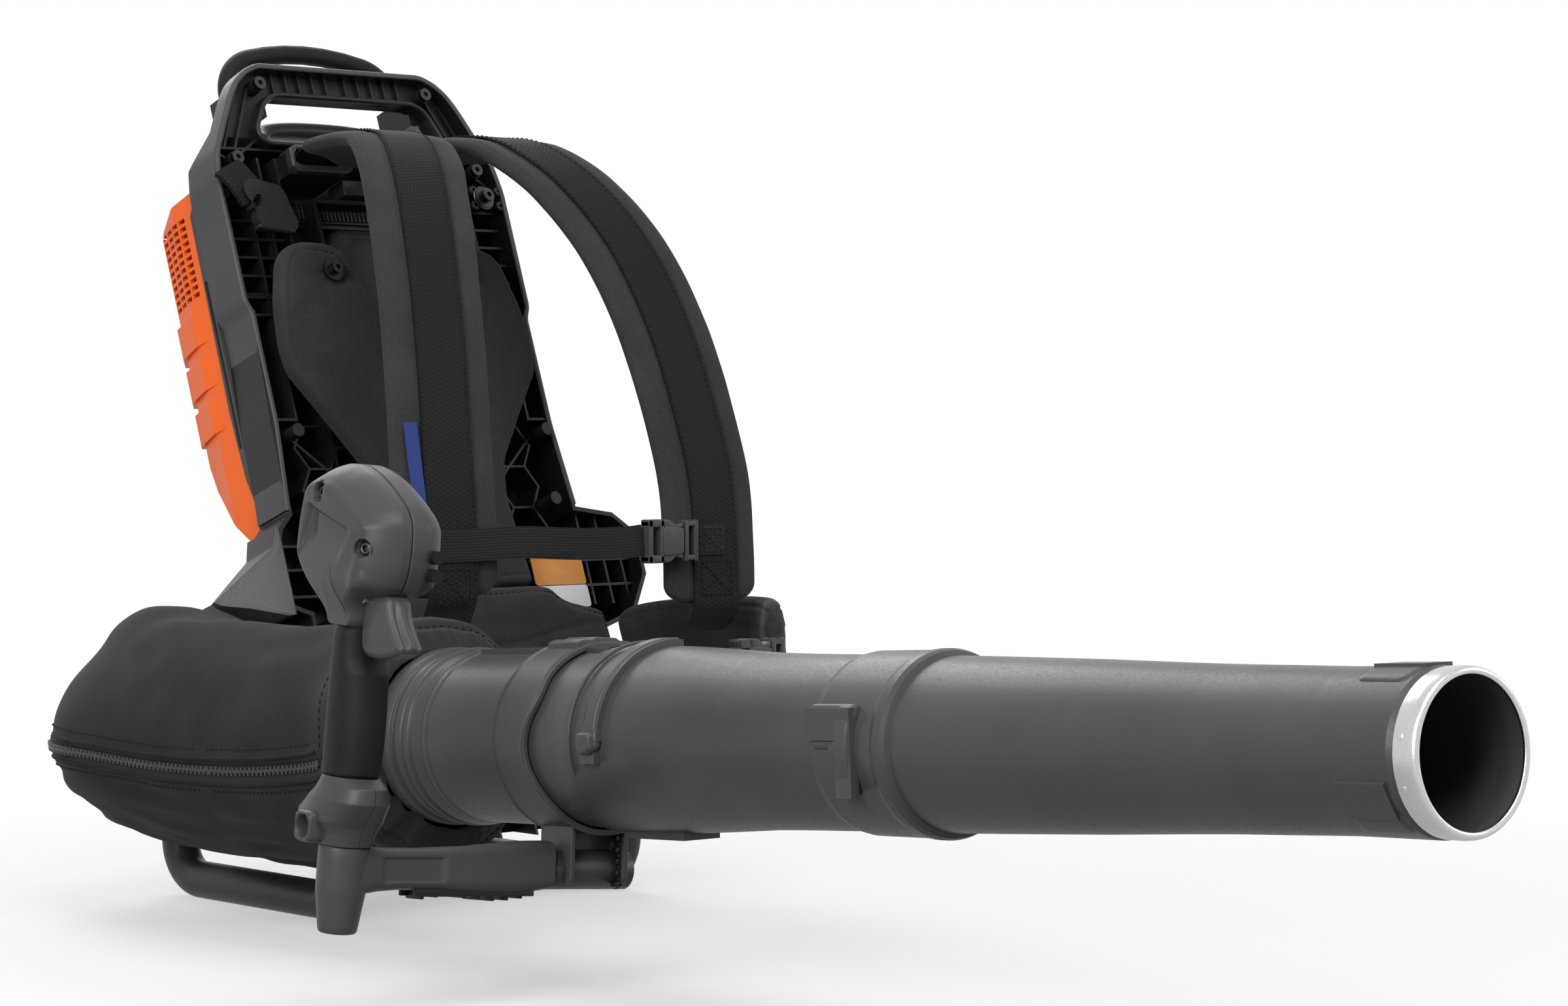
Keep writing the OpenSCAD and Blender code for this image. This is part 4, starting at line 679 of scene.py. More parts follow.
def headHalf(sign):  # rings grow from the parting plane to the face, which then closes on its middle
    k = headShape
    n = 360
    outline = closedEven(fillet(k["side"], 9, 7), n)
    area = signedArea(outline)
    outline = outline if area > 0 else outline[::-1]
    into = inward(outline)
    into = np.stack([np.convolve(np.pad(into[:, c], 6, "wrap"), np.ones(13) / 13, "valid") for c in range(2)], 1)
    front = smoothStep(-into[:, 0] * 0.75 - into[:, 1] * 0.65, -0.25, 0.75)
    depth = (7.5 + 6.5 * front) if sign < 0 else (7 + 3.5 * front)
    depth *= smoothStep(outline[:, 1], 128, 150) * 0.75 + 0.25
    start = 5.0 if sign < 0 else 9.0
    rings = []
    for x in np.concatenate([[0.3, 0.5, 0.8, 1.1], np.linspace(1.5, k["half"], 34)]):
        t = np.clip((x - start) / (k["half"] - start), 0, 1)
        e = depth * (0.52 * t**1.35 + 0.48 * (1 - np.sqrt(1 - t**2.2))) + max(0, 0.8 - x) * 1.2
        flat = outline + into * e[:, None]
        rings.append((x, flat))
    last = rings[-1][1]
    centre = np.array([-3.0, 172.0])
    for t in np.linspace(0, 1, 72)[1:-1]:
        rings.append((k["half"] + 1.6 * (1 - (1 - t) ** 2.2), last + (centre - last) * t))
    grid = []
    for x, flat in rings:
        z, g = flat[:, 0], flat[:, 1]
        girth = 0.63 + 0.37 * smoothStep(g, 131, 154)
        out = x * girth
        if sign < 0:
            out = out - relief(z, g) * smoothStep(np.full_like(z, x), k["half"] - 3, k["half"] - 0.2)
        grid.append(np.stack([sign * out, g, z], -1))
    return skinned(np.array(grid))


footShape = {
    "back": ([13.4, 18, 22.5, 24.5, 29, 35, 42, 50], [-14, -16, -20, -39, -40.5, -32, -22, -16.2]),
    "front": ([13.4, 24, 30, 37, 45, 48, 50], [14, 16.5, 21, 27, 25.5, 20, 16.2]),
    "half": ([13.4, 20, 26, 38, 45, 50], [13.4, 15, 18.6, 18.2, 15.6, 14.2]),
}


def footSection(g, m=96):  # flared foot: egg plan whose reach back and forward follows the height
    zMin = np.interp(g, *footShape["back"])
    zMax = np.interp(g, *footShape["front"])
    half = np.interp(g, *footShape["half"])
    w = fullTurn(m)
    c, s = np.cos(w), np.sin(w)
    z = np.where(s > 0, zMax, -zMin) * signedPower(s, 0.92)
    x = half * signedPower(c, np.where(s > 0, 0.8, 1.15))
    return np.stack([x, np.full(m, g), z], -1)


def bored(outer, r, low, high, edge, centre, m=64):  # plate along x with a round hole: outline in (up, forward)
    w = fullTurn(m)
    hole = np.stack([np.cos(w), np.sin(w)], 1)
    shape = np.asarray(outer, float)
    levels = ((high, hole * r), (high, shape), (low + edge, shape), (low + edge * 0.3, shape * (1 - edge * 0.05)),
              (low, shape * (1 - edge * 0.13)), (low, hole * (r + edge * 0.6)), (low + edge * 0.7, hole * r))
    rings = [np.concatenate([np.full((m, 1), x), ring], 1) for x, ring in levels]
    pts, faces = skinned(np.array(rings), closeRings=True)
    return pts + np.array(centre), faces


def makeHandle():
    foot = np.array([footSection(g) for g in np.concatenate([[13.45], np.linspace(13.8, 49.4, 74), [49.75]])])
    halves = {}
    for sign, label in ((-1, "Outer"), (1, "Inner")):
        halves[label] = [headHalf(sign)]
        grid = foot.copy()
        keep = np.clip(grid[..., 0] * sign, 0.14, None) * sign
        grid[..., 0] = keep
        halves[label].append(skinned(grid))
    port = bored(superEllipse(8.2, 8.2, 5, 64), 6, -22.5, -8, 1.6, (0, 22, -8))
    halves["Outer"].append(port)
    # near-black linings in the two screw recesses, painted shade of their hollows, each set square to the cover
    # around it
    cloud = halves["Outer"][0][0]
    recessShades, heads = [], []
    for sz, sg in headShape["screws"]:
        reach = np.hypot(cloud[:, 2] - sz, cloud[:, 1] - sg)
        near = cloud[(reach > 5.6) & (reach < 8.6) & (cloud[:, 0] < -8)]
        fit = np.linalg.lstsq(np.stack([near[:, 1] - sg, near[:, 2] - sz, np.ones(len(near))], 1), near[:, 0],
                              rcond=None)[0]
        axis = np.array([-1, fit[0], fit[1]])
        axis /= np.linalg.norm(axis)
        side = np.cross(axis, [0, 1, 0])
        side /= np.linalg.norm(side)
        at = (np.array([fit[2], sg, sz]), np.stack([axis, np.cross(side, axis), side], 1))
        recessShades.append(turned(lathe([[-4.6, 4.3], [-0.3, 4.9], [0.05, 5.2], [0.2, 5.6], [0.1, 6.1], [-1.2, 6.3],
                                   [-4.6, 6.3]], 72, 0), at))
        recessShades.append(turned(rod(5.4, -5.2, -4.2, 0, (0, 0), 0.3, 48), at))
        heads.append(turned(lathe([[-4.4, 1.3], [-4.4, 3.4], [-1.9, 3.4], [-1.4, 2.9], [-1.3, 2.2], [-1.6, 1.7],
                                   [-3.2, 1.5]], 48, 0), at))
        heads.append(turned(rod(1.9, -4.6, -2.9, 0, (0, 0), 0.2, 6), at))
    partsPiece("screwRecessShade", recessShades, grip, "black", "handle", (), 40)
    partsPiece("handleScrews", heads, grip, "screw", "handle", (), 40)
    for label in halves:
        partsPiece("headShell" + label, halves[label], grip, "grey", "handle",
                   ("head_shell_" + label.lower(),), 50)
    # soft sleeve: oval section, a little fuller in the palm, rounded lip at the top
    g = np.concatenate([[50.2, 50.5, 51.2], np.linspace(52, 124, 50), [126, 127.2, 127.9, 128.3]])
    grow = 1 + 0.03 * np.sin((g - 50) / 78 * math.pi) - 0.10 * smoothStep(g, 125.4,
        128.4) - 0.05 * (1 - smoothStep(g, 50, 51.4))
    w = fullTurn(96)
    c, s = np.cos(w), np.sin(w)
    front = 16.6 + 1.2 * np.sin((g - 50) / 78 * math.pi * 2)
    x = 14.2 * grow[:, None] * signedPower(c, 0.86)
    z = np.where(s > 0, front[:, None] * np.interp(g, [105, 112, 128], [1, 0.7, 0.55])[:, None], 16.8) * grow[:,
        None] * signedPower(s, 0.92)
    y = g[:, None] + np.where(s < 0, -2.2 * s**2, 1.0 * s)[None] * smoothStep(g, 118, 127)[:, None]
    sleeve = np.stack([x, y, z], -1)
    ringPiece("gripSleeve", sleeve, grip, "rubber", "handle", "rubber_black", ("grip_sleeve",), 50)
    # trigger: side outline rounded across its width, a raised spine down the middle
    outline = closedEven(fillet([[10.6, 148.5], [20, 149.5], [33, 146.6], [36.6, 137], [43, 128], [49.5, 121.5],
                                 [48, 118.6], [38, 115.6], [28, 113.6], [15, 114], [9.6, 118], [8.6,
                                     129]], 3.4, 6), 220)
    into = inward(outline)
    if signedArea(outline) < 0:
        into = -into
    face = smoothStep(outline[:, 0], 24, 34) * smoothStep(-outline[:, 1], -146, -140) * smoothStep(outline[:, 1],
        118, 124)
    xs = np.concatenate([[-7.9, -7.7, -7.2], np.linspace(-6.4, 6.4, 41), [7.2, 7.7, 7.9]])
    e = 3.2 * np.clip((np.abs(xs) - 4.4) / 3.5, 0, 1) ** 2.6
    spine = 1.5 * np.exp(-((xs / 2.3) ** 4)) - 0.8 * bell(np.abs(xs) - 3.6, 0.8)
    flat = outline[None] + into[None] * (e[:, None] - spine[:, None] * face[None])[..., None]
    rings = np.stack([np.broadcast_to(xs[:, None], flat.shape[:2]), flat[..., 1], flat[..., 0]], -1)
    ringPiece("trigger", rings, grip, "grey", "trigger", "grey_moulding", ("trigger",), 50)


makeHandle()
print("handle made")


armShape = {  # post: height and radius; top, low and deep: place along the arm and reach
    "post": ([-33.4, -33.2, -32.4, -31, -26, -20, -14, -12, -6, 0, 6, 11.5, 12.6, 13.1],
             [8.6, 9.4, 10.2, 10.6, 11.3, 12.1, 12.9, 13.3, 13.5, 13.6, 13.6, 13.6, 13.3, 12.8]),
    "top": ([-160, -149, -141, -132, -110, -80, -56, -44, -28.6],
            [14.6, 14.4, 12.4, 11.6, 11.5, 12.6, 14.6, 15.6, 15.8]),
    "low": ([-160, -147, -138, -126, -104, -80, -56, -44, -28.6],
            [-12.6, -12.8, -11.5, -10.7, -10.8, -12.4, -13.4, -12.4, -10.4]),
    "deep": ([-160, -148, -138, -110, -60, -28.6], [12.6, 12.2, 11.2, 11.0, 11.2, 12.0]),
}


def makeArm():
    # stub, post and arm of the handle: tapered foot, then a rounded bar that meets it in a wide fillet
    g, r = np.array(armShape["post"])
    w = fullTurn(84)
    post = np.stack([r[:, None] * np.cos(w), np.broadcast_to(g[:, None], (len(g), 84)), r[:, None] * np.sin(w)], -1)
    parts = [turned(skinned(post), (np.linalg.inv(armTurn) @ (gripAt - armAt), np.linalg.inv(armTurn) @ gripTurn))]
    x = np.concatenate([np.linspace(-160, -44, 90), np.linspace(-42, -28.6, 14)])
    top = np.interp(x, *armShape["top"])
    low = np.interp(x, *armShape["low"])
    deep = np.interp(x, *armShape["deep"])
    m = 72
    v = fullTurn(m)
    c, s = np.cos(v), np.sin(v)
    cs, ss = signedPower(c, 0.5), signedPower(s, 0.5)
    y = np.where(ss > 0, top[:, None], -low[:, None]) * ss
    z = deep[:, None] * cs
    # shallow pocket on the front face
    pocket = 1.5 * smoothStep(x, -139, -136)[:, None] * (1 - smoothStep(x, -101, -97))[:, None] * smoothStep(c, 0.7,
        0.8)[None] * (1 - smoothStep(np.abs(ss), 0.5, 0.62))[None]
    z = z - pocket * np.sign(z)
    parts.append(skinned(np.stack([np.broadcast_to(x[:, None], y.shape), y, z], -1)))
    partsPiece("handleArm", parts, arm, "grey", "handle", ("handle_arm",), 45)
    ribs = [box([-112 + 9 * i, -15.6 + 1.2 * math.sin(i * 0.9), -8], [-110.2 + 9 * i, -9, 8], 0.8,
                0.4) for i in range(8)]
    ribs.append(box([-116, -14.2, 6.8], [-40, -9.5, 8.6], 0.8, 0.4))
    ribs.append(box([-116, -14.2, -8.6], [-40, -9.5, -6.8], 0.8, 0.4))
    partsPiece("armRibs", ribs, arm, "black", "handle", (), 30)
    # toothed ring between arm and clamp: teeth run round the joint's axis
    w = fullTurn(96)
    tooth = np.where((np.arange(96) // 2) % 2, 0.9, -0.9)
    rings = np.array([np.stack([np.full(96, x0) + tooth * k, 10.6 * np.cos(w) * q, 10.6 * np.sin(w) * q],
                               -1) for x0, k, q in ((-31.5, 0, 1), (-28.8, 1, 1), (-28.8, 1, 0.8), (-31.5, 0, 0.8))])
    partsPiece("toothRing", [skinned(rings, closeRings=True), rod(8.0, -33, 18.8, 0, (0, 0), 0.6, 60)], arm,
               "black", "handle", (), 30)


makeArm()
print("arm made")


# ---- soft goods
sideName = {1: "Left", -1: "Right"}


def ripple(shape, seeds, spread, count=10):  # sum of random sines over a grid of two coordinates
    u, v = shape
    total = np.zeros(np.broadcast(u, v).shape)
    rng = np.random.default_rng(seeds)
    for _ in range(count):
        a, b = rng.normal(0, 1, 2) / spread
        total += np.sin(u * a * 2 * math.pi + v * b * 2 * math.pi + rng.uniform(0, 6.28))
    return total / math.sqrt(count)


def cushion(outline, low, high, front, rows=150, columns=90, edge=9.0, power=2.2, back=0.25):
    # both faces from the distance d to the edge: h = (1 - (1 - d/edge)^power)^(1/power), front() adds the sewing
    q = np.asarray(outline, float)
    x, w = padRows(q, rows, columns)
    d = edgeDistance(np.stack([x.ravel(), w.ravel()], 1), q).reshape(x.shape)
    h = (1 - (1 - np.clip(d / edge, 0, 1)) ** power) ** (1 / power)
    middle = low + (high - low) * (1 - back)
    face = middle - (middle - low) * h + front(x, w, d) * smoothStep(d, 0, 3)
    rear = middle + (high - middle) * h
    rings = np.concatenate([np.stack([x, face, w], -1), np.stack([x, rear, w], -1)[:, -2:0:-1]], 1)
    return rings


def stitchRow(path, normal, length=2.6, step=4.2, width=0.75, lift=0.25):  # short raised threads along a path
    fine, run = evenPath(path, 600)
    total = run[-1]
    count = max(2, int(total / step))
    parts = []
    nrm = np.broadcast_to(np.asarray(normal, float), (600, 3)) if np.ndim(normal) == 1 else sampled(run,
        np.linspace(0, total, len(normal)), np.asarray(normal))
    lobe = np.array([[-0.5, 0], [-0.25, 0.8], [0.25, 0.8], [0.5, 0], [0, -0.3]]) * width
    for k in range(count):
        s = np.linspace(k * step, k * step + length, 4)
        c = sampled(s, run, fine)
        n = sampled(s, run, nrm)
        n = unit(n)
        f = tangents(c)
        a = np.cross(f, n)
        a = unit(a)
        dip = np.array([-0.3, lift, lift, -0.3])[:, None]
        c = c + n * dip
        parts.append(skinned(c[:, None] + a[:, None] * lobe[:, :1] + n[:, None] * lobe[:, 1:]))
    return parts


strapRoute = [
    [40.5, 50, 490], [41, 30, 495.5], [42, 4, 499], [44, -25, 500], [50, -52, 494], [66, -85, 470],
    [83, -118, 427], [96, -145, 367], [106, -166, 289], [107, -172, 240], [107, -173, 208],
]
strapPad = {
    "halfWide": 38.6, "halfThick": 5.7, "rows": 420, "endRound": 13, "topRound": 14, "web": 19.6, "seam": 34.6,
    "slant": 30.0, "fade": 90.0, "webHalf": 18.8,
}
strapEnd = {1: [107, -173.5, 199.5], -1: [107, -172, 210]}  # the one above the hose stays clear of it
webEnd = {1: [[107, -178.5, 193.5], [107, -175, 187]], -1: [[107, -174, 200], [107, -171, 192], [107, -168, 185]]}


def strapFrame(n, side):
    q, s = evenPath(strapRoute[:-1] + [strapEnd[side]], n)
    f = tangents(q)
    a = squareTo([1, 0, 0], f)
    return q, s, a, np.cross(f, a)


def makeStrap(side):
    k = strapPad
    q, s, a, n = strapFrame(k["rows"], side)
    left = s[-1] - s
    lower = np.sqrt(np.clip(1 - (1 - np.clip(left / k["endRound"], 0, 1)) ** 2.4, 0.02, 1))
    upper = np.sqrt(np.clip(1 - (1 - np.clip(s / k["topRound"], 0, 1)) ** 2.4, 0.05, 1))
    wide = k["halfWide"] * (0.45 + 0.55 * lower) * (0.75 + 0.25 * upper) + 0.15 * np.sin(s / 23) * np.sin(s / 31 + 1)
    ends = np.minimum(lower, upper) ** 0.7
    m = 96
    w = np.linspace(0, 2 * math.pi, m, endpoint=False)
    c, z = np.cos(w), np.sin(w)
    u = signedPower(c, 0.55)  # denser rows towards the edges
    across = u[None] * wide[:, None]
    body = (1 - np.abs(u) ** 11) ** 0.5
    # sewn lines: valleys at the webbing edge and a shallow one at the binding
    valley = -0.7 * bell(np.abs(across) - k["web"] - 0.6, 1.3) - 0.45 * bell(np.abs(across) - k["seam"], 0.8)
    pucker = ripple((s[:, None] / 100, across / 100), 5 + (side > 0), 0.5, 12) * 0.16
    crown = 0.35 * bell(np.abs(across) - 27.5, 5.5)
    height = k["halfThick"] * body[None] * ends[:, None]
    up = (z >= 0)[None]
    height = np.where(up, height + (valley + crown + pucker) * smoothStep(height, 0.5, 3.5) - 0.35,
                      -height + 0.4 * pucker + 0.5)
    # the tongue is cut on the slant: its outer corner starts further along the route than its inner one
    late = k["slant"] * smoothStep(across, -20, 34) * np.clip(1 - s / k["fade"], 0, 1)[:, None] ** 1.5
    at = s[:, None] + late
    q2, a2, n2 = (sampled(at, s, v) for v in (q, a, n))
    rings = q2 + a2 * across[..., None] + n2 * height[..., None]
    rings[..., 0] *= side
    label = sideName[side]
    replaced = ("strap_pad_" + label.lower(),)
    piece = ringPiece("strapPad" + label, rings, ground, "foam", "backpack", "foam_cloth", replaced, 60)
    # webbing on the outer face, with the mesh band's sewn margins
    outer = q + n * (k["halfThick"] + 0.95)
    route = np.concatenate([[[40, 71.6, 484.6], [40, 66, 487.5]], outer[::12], [outer[-1]], webEnd[side],
                            [[107, -166, 181]]])
    p, run = evenPath(route, 460)
    f = tangents(p)
    b = squareTo([1, 0, 0], f)
    nn = np.cross(f, b)
    v = np.concatenate([np.linspace(-1, 1, 15), np.linspace(1, -1, 15)])
    face = np.concatenate([np.full(15, 1.0), np.full(15, -1.0)])
    bulge = 0.75 * face * (1 - 0.35 * np.abs(v) ** 8)
    lipUp = 0.35 * bell(np.abs(v) - 0.93, 0.05) * (face > 0)
    web = p[:, None] + b[:, None] * (v * k["webHalf"])[None, :, None] + nn[:, None] * (bulge + lipUp)[None, :, None]
    web[..., 0] *= side
    uv = np.stack(np.broadcast_arrays((run / 1000)[:, None], (v * k["webHalf"] / 1000)[None]), -1).reshape(-1, 2)
    pts, faces = skinned(web)
    mesh = makeMesh("webbing" + label, toRow(pts), faces, uv)
    finishPiece(mesh.name, mesh, "mesh", "backpack", ("webbing_" + label.lower(),), 50)
    parts = []
    for x in (17.2, -17.2):
        line = p[16:-30] + b[16:-30] * x + nn[16:-30] * 0.8
        parts += [(pt * [side, 1, 1], fc) for pt, fc in stitchRow(line[::3], nn[16:-30][::3], 2.6, 4.2, 0.55, 0.1)]
    # crossed box stitching below the chest strap
    low, high = (int(np.argmin(np.abs(p[:, 2] - z) + 99 * (p[:, 1] > -120))) for z in (205, 227))
    corners = [(high, -13), (high, 13), (low, 13), (low, -13), (high, -13), (low, 13), (low, -13), (high, 13)]
    for (i, x), (j, x2) in zip(corners[:-1], corners[1:]):
        t = np.linspace(0, 1, 12)
        at, over = np.round(i + (j - i) * t).astype(int), x + (x2 - x) * t
        line = p[at] + b[at] * over[:, None] + nn[at] * 0.9
        parts += [(pt * [side, 1, 1], fc) for pt, fc in stitchRow(line, nn[at])]
    partsPiece("strapStitches" + label, parts, ground, "thread", "backpack", (), 60)


makeStrap(1)
makeStrap(-1)
print("straps made")

padOutline = [
    [26, -120], [58, -120], [52, -60], [56, -34], [80, 2], [101, 32], [103, 50], [100, 80],
    [92, 109], [84, 119], [72, 123], [50, 122], [41, 117], [26, 88], [22, 70], [20, 20], [20, -60],
]
backPad = {"boss": (54, 101), "seam": 6.5, "low": -15.0, "high": -2.1}


def makeBackPad(side):
    k = backPad
    outline = fillet(padOutline, 6, 6)

    def sewing(x, w, d):
        near = np.hypot(x - k["boss"][0], w - k["boss"][1])
        turnAngle = np.arctan2(w - k["boss"][1], x - k["boss"][0])
        dimple = 4.2 * bell(near, 13) + 0.9 * np.exp(-near / 14) * np.cos(turnAngle * 7 + 0.6)
        seam = 0.5 * bell(d - k["seam"], 0.9)
        return dimple + seam + 0.3 * ripple((x / 100, w / 100), 21 + (side > 0), 0.3, 12)

    rings = cushion(outline, k["low"] + 0.5, k["high"], sewing, 170, 100, 5, 2.6)
    rings[..., 0] *= side
    label = sideName[side]
    piece = ringPiece("backPad" + label, rings, plate, "foam", "backpack", "foam_cloth",
                      ("back_pad_" + label.lower(),), 60)
    # stitches follow the outline at the seam's distance
    line = (outline + inward(outline) * k["seam"])[::3]
    line = np.concatenate([line, line[:1]])
    route = np.stack([line[:, 0] * side, np.full(len(line), k["low"] + 2.3), line[:, 1]], 1)
    partsPiece("backPadStitches" + label, stitchRow(route, (0, -1, 0), 2.4, 4.4, 0.6), plate, "thread", "backpack",
               (), 60)


makeBackPad(1)
makeBackPad(-1)
lumbar = {"low": -33.5, "high": -2.1, "seam": 8, "stitchY": -29.6,
          "outline": [[-100, -196], [100, -196], [104, -152], [101, -141], [84, -137], [70, -134], [60, -124],
                      [50, -122.5], [-62, -122.5], [-96, -124], [-104, -150]]}


def makeLumbar():
    outline = fillet(lumbar["outline"], 18, 7)

    def sewing(x, w, d):
        channel = 1.6 * bell(w + 160 + 6 * np.cos(x / 30), 2.6) * smoothStep(d, 6, 16)
        seam = 1.2 * bell(d - lumbar["seam"], 1.5)
        return channel + seam + 0.5 * ripple((x / 100, w / 100), 33, 0.35, 12)

    rings = cushion(outline, lumbar["low"], lumbar["high"], sewing, 90, 150, 17, 2.3)
    piece = ringPiece("lumbarPad", rings, plate, "foam", "backpack", "foam_cloth", ("lumbar_pad",), 60)
    line = (outline + inward(outline) * lumbar["seam"])[::3]
    route = np.stack([line[:, 0], np.full(len(line), lumbar["stitchY"]), line[:, 1]], 1)
    partsPiece("lumbarStitches", stitchRow(route, (0, -1, 0), 2.6, 4.6, 0.6), plate, "thread", "backpack",
               (), 60)


makeLumbar()
hips = {
    "left": [[110, -87, 159], [130, -96, 164], [153, -116, 167], [167, -142, 168], [163, -172, 168],
             [148, -192, 166]],
    "right": [[-80, -102.5, 152], [-97, -125, 154], [-100, -148, 156], [-84, -162, 157], [-62, -168, 157]],
}


def makeHip(label, high, thick, lean):
    q, s = evenPath(hips[label], 150)
    f = tangents(q)
    a = squareTo([0, lean, 1], f)
    n = np.cross(f, a)
    w = np.linspace(0, 2 * math.pi, 84, endpoint=False)
    u = signedPower(np.cos(w), 0.6)
    end = np.sqrt(np.clip(1 - (1 - np.clip(np.minimum(s, s[-1] - s) / 16, 0, 1)) ** 2.2, 0.06, 1))
    across = u[None] * (high / 2 - 0.4) * (0.7 + 0.3 * end)[:, None]
    seam = bell(high / 2 - 6.5 - np.abs(across), 1.2) + 0.9 * bell(np.abs(across) - 12, 1.6)
    body = (thick / 2 - 0.3) * (1 - np.abs(u) ** 4) ** 0.5 * end[:, None] ** 0.8
    wave = 0.4 * ripple((s[:, None] / 100, across / 100), 41, 0.25, 10)
    height = np.sign(np.sin(w))[None] * (body + (wave - seam) * smoothStep(body, 1, 4))
    rings = q[:, None] + a[:, None] * across[..., None] + n[:, None] * height[..., None]
    piece = ringPiece("hipWing" + label.title(), rings, ground, "foam", "backpack", "foam_cloth",
                      ("hip_wing_" + label,), 60)


makeHip("left", 65, 16, 0.1)
makeHip("right", 46, 12, 0.1)
print("pads made")


def webStrip(name, points, across, wide, thick, tone, replaces, body="backpack", n=160, wave=0.0):
    q, s = evenPath(points, n)
    f = tangents(q)
    a = squareTo(across, f)
    up = np.cross(f, a)
    v = np.concatenate([np.linspace(-1, 1, 11), np.linspace(1, -1, 11)])
    face = np.concatenate([np.ones(11), -np.ones(11)])
    lift = thick / 2 * face * (1 - 0.4 * np.abs(v) ** 8)
    curl = wave * np.sin(s / 17 + 1)[:, None] * v[None] * np.sin(math.pi * s / s[-1])[:, None]
    rings = q[:, None] + a[:, None] * (v * wide / 2)[None, :, None] + up[:, None] * (lift[None] + curl)[..., None]
    uv = np.stack(np.broadcast_arrays((s / 1000)[:, None], (v * wide / 2000)[None]), -1).reshape(-1, 2)
    pts, faces = skinned(rings)
    return finishPiece(name, makeMesh(name, toRow(pts), faces, uv), tone, body, replaces, 50)


webFace = -180.4
webStrip("chestWebbing", [[-124, webFace - 0.8, 242], [-94, webFace - 0.8, 242], [-60, -188, 243], [-16, -190, 241],
                          [20, -189, 241], [37.2, -187, 242]], (0, 0.04,
                              1), 20, 1.6, "webbing", ("chest_strap",), wave=0.5)


def boxStitches(low, high, y):
    (x0, z0), (x1, z1) = low, high
    way = [(x0, z0), (x1, z0), (x1, z1), (x0, z1), (x0, z0), (x1, z1), (x1, z0), (x0, z1)]
    lines = [np.linspace([ax, y, az], [bx, y, bz], 12) for (ax, az), (bx, bz) in zip(way[:-1], way[1:])]
    return [part for line in lines for part in stitchRow(line, (0, -1, 0))]


webStrip("chestPatch", [[72, webFace - 0.9, 241], [94, webFace - 0.9, 241], [113, webFace - 0.9, 241]], (0, 0, 1),
         20, 1.8, "webbing", ("chest_plug",))
partsPiece("chestPatchStitches", boxStitches((91, 233.5), (110, 248.5), webFace - 1.9), ground, "stitch",
           "backpack", (), 60)


def sideRelease(name, centre, turnBy, wide, high, deep, replaces):
    # buckle: frame with a bar, two side openings and the three-pronged plug seen through them
    parts = []
    w, h, d = wide / 2, high / 2, deep / 2
    rail = 0.18 * high
    parts.append(box([-w, -d * 0.8, -h], [-w + 4, d * 0.8, h], 1.5, 0.7, 1))
    parts.append(box([-w * 0.52, -d * 0.8, -h], [-w * 0.36, d * 0.8, h], 1.5, 0.7, 1))
    parts += [box([-w, -d * 0.8, z0], [-w * 0.36, d * 0.8, z1], 1.2, 0.7, 1) for z0,
              z1 in ((-h, -h + rail), (h - rail, h))]
    parts.append(slab(fillet([[-w * 0.4, -h * 0.7], [w * 0.4, -h * 0.62], [w * 0.4, h * 0.62], [-w * 0.4, h * 0.7]],
                             3, 5), -d, d * 0.8, 1.1, 3, (0, 2, 1)))
    for sgn in (-1, 1):
        parts.append(slab(fillet([[-w * 0.36, sgn * h * 0.98], [-w * 0.1, sgn * h * 0.98],
                                  [w * 0.12, sgn * h * 0.7], [w * 0.42, sgn * h * 0.86], [w * 0.42,
                                      sgn * h * 0.6], [-w * 0.36,
                                                       sgn * h * 0.6]], 2, 5), -d * 0.75, d * 0.6, 0.9, 3, (0, 2, 1)))
    parts.append(box([w * 0.46, -d * 0.85, -h * 0.95], [w * 0.62, d * 0.8, h * 0.95], 1.5, 0.8, 1))
    parts.append(box([w * 0.86, -d * 0.85, -h * 0.95], [w, d * 0.8, h * 0.95], 1.5, 0.8, 1))
    parts += [box([w * 0.46, -d * 0.8, sgn * h * 0.78 - 1.6], [w, d * 0.7, sgn * h * 0.78 + 1.6], 1.2, 0.7,
                  1) for sgn in (-1, 1)]
    moved = (np.asarray(centre, float), turn("z", turnBy))
    partsPiece(name, [turned(p, moved) for p in parts], ground, "buckle", "backpack", replaces, 30)


sideRelease("chestBuckle", (61, -187, 241), 0, 42, 28, 10, ("chest_buckle",))
sideRelease("hipBuckle", (122, -203, 160), 12, 52, 34, 10, ("belt_buckle",))
print("webbing made")

# ---- hose cover: a sewn sleeve, ring = line + outward * cos(w) * (a or b) + up * sin(w) * (c or d)
coverShape = {
    "line": [[-120.5, 75, 113], [-129, 74.8, 114], [-144, 70, 116], [-161, 56, 118], [-171.5, 36, 119],
             [-176, 5, 118],
             [-177, -60, 116], [-176.5, -130, 118], [-173, -190, 124], [-171.5, -228, 130], [-173, -248,
                 133], [-174.2, -264, 134.6]],
    "out": [50, 60, 68, 73, 75, 73, 69, 66, 68, 72, 70, 55], "in": [49, 50.4, 50.4, 50, 51.5, 54, 55, 64, 68, 69,
        68, 57],
    "up": [66, 70, 75, 80, 81, 81, 80, 78, 76, 76, 72, 55], "down": [58, 60, 64, 67, 68, 69, 70, 72, 74, 75, 72, 55],
    "zip": math.radians(-7), "split": -110.0, "cloth": 1.6,
}


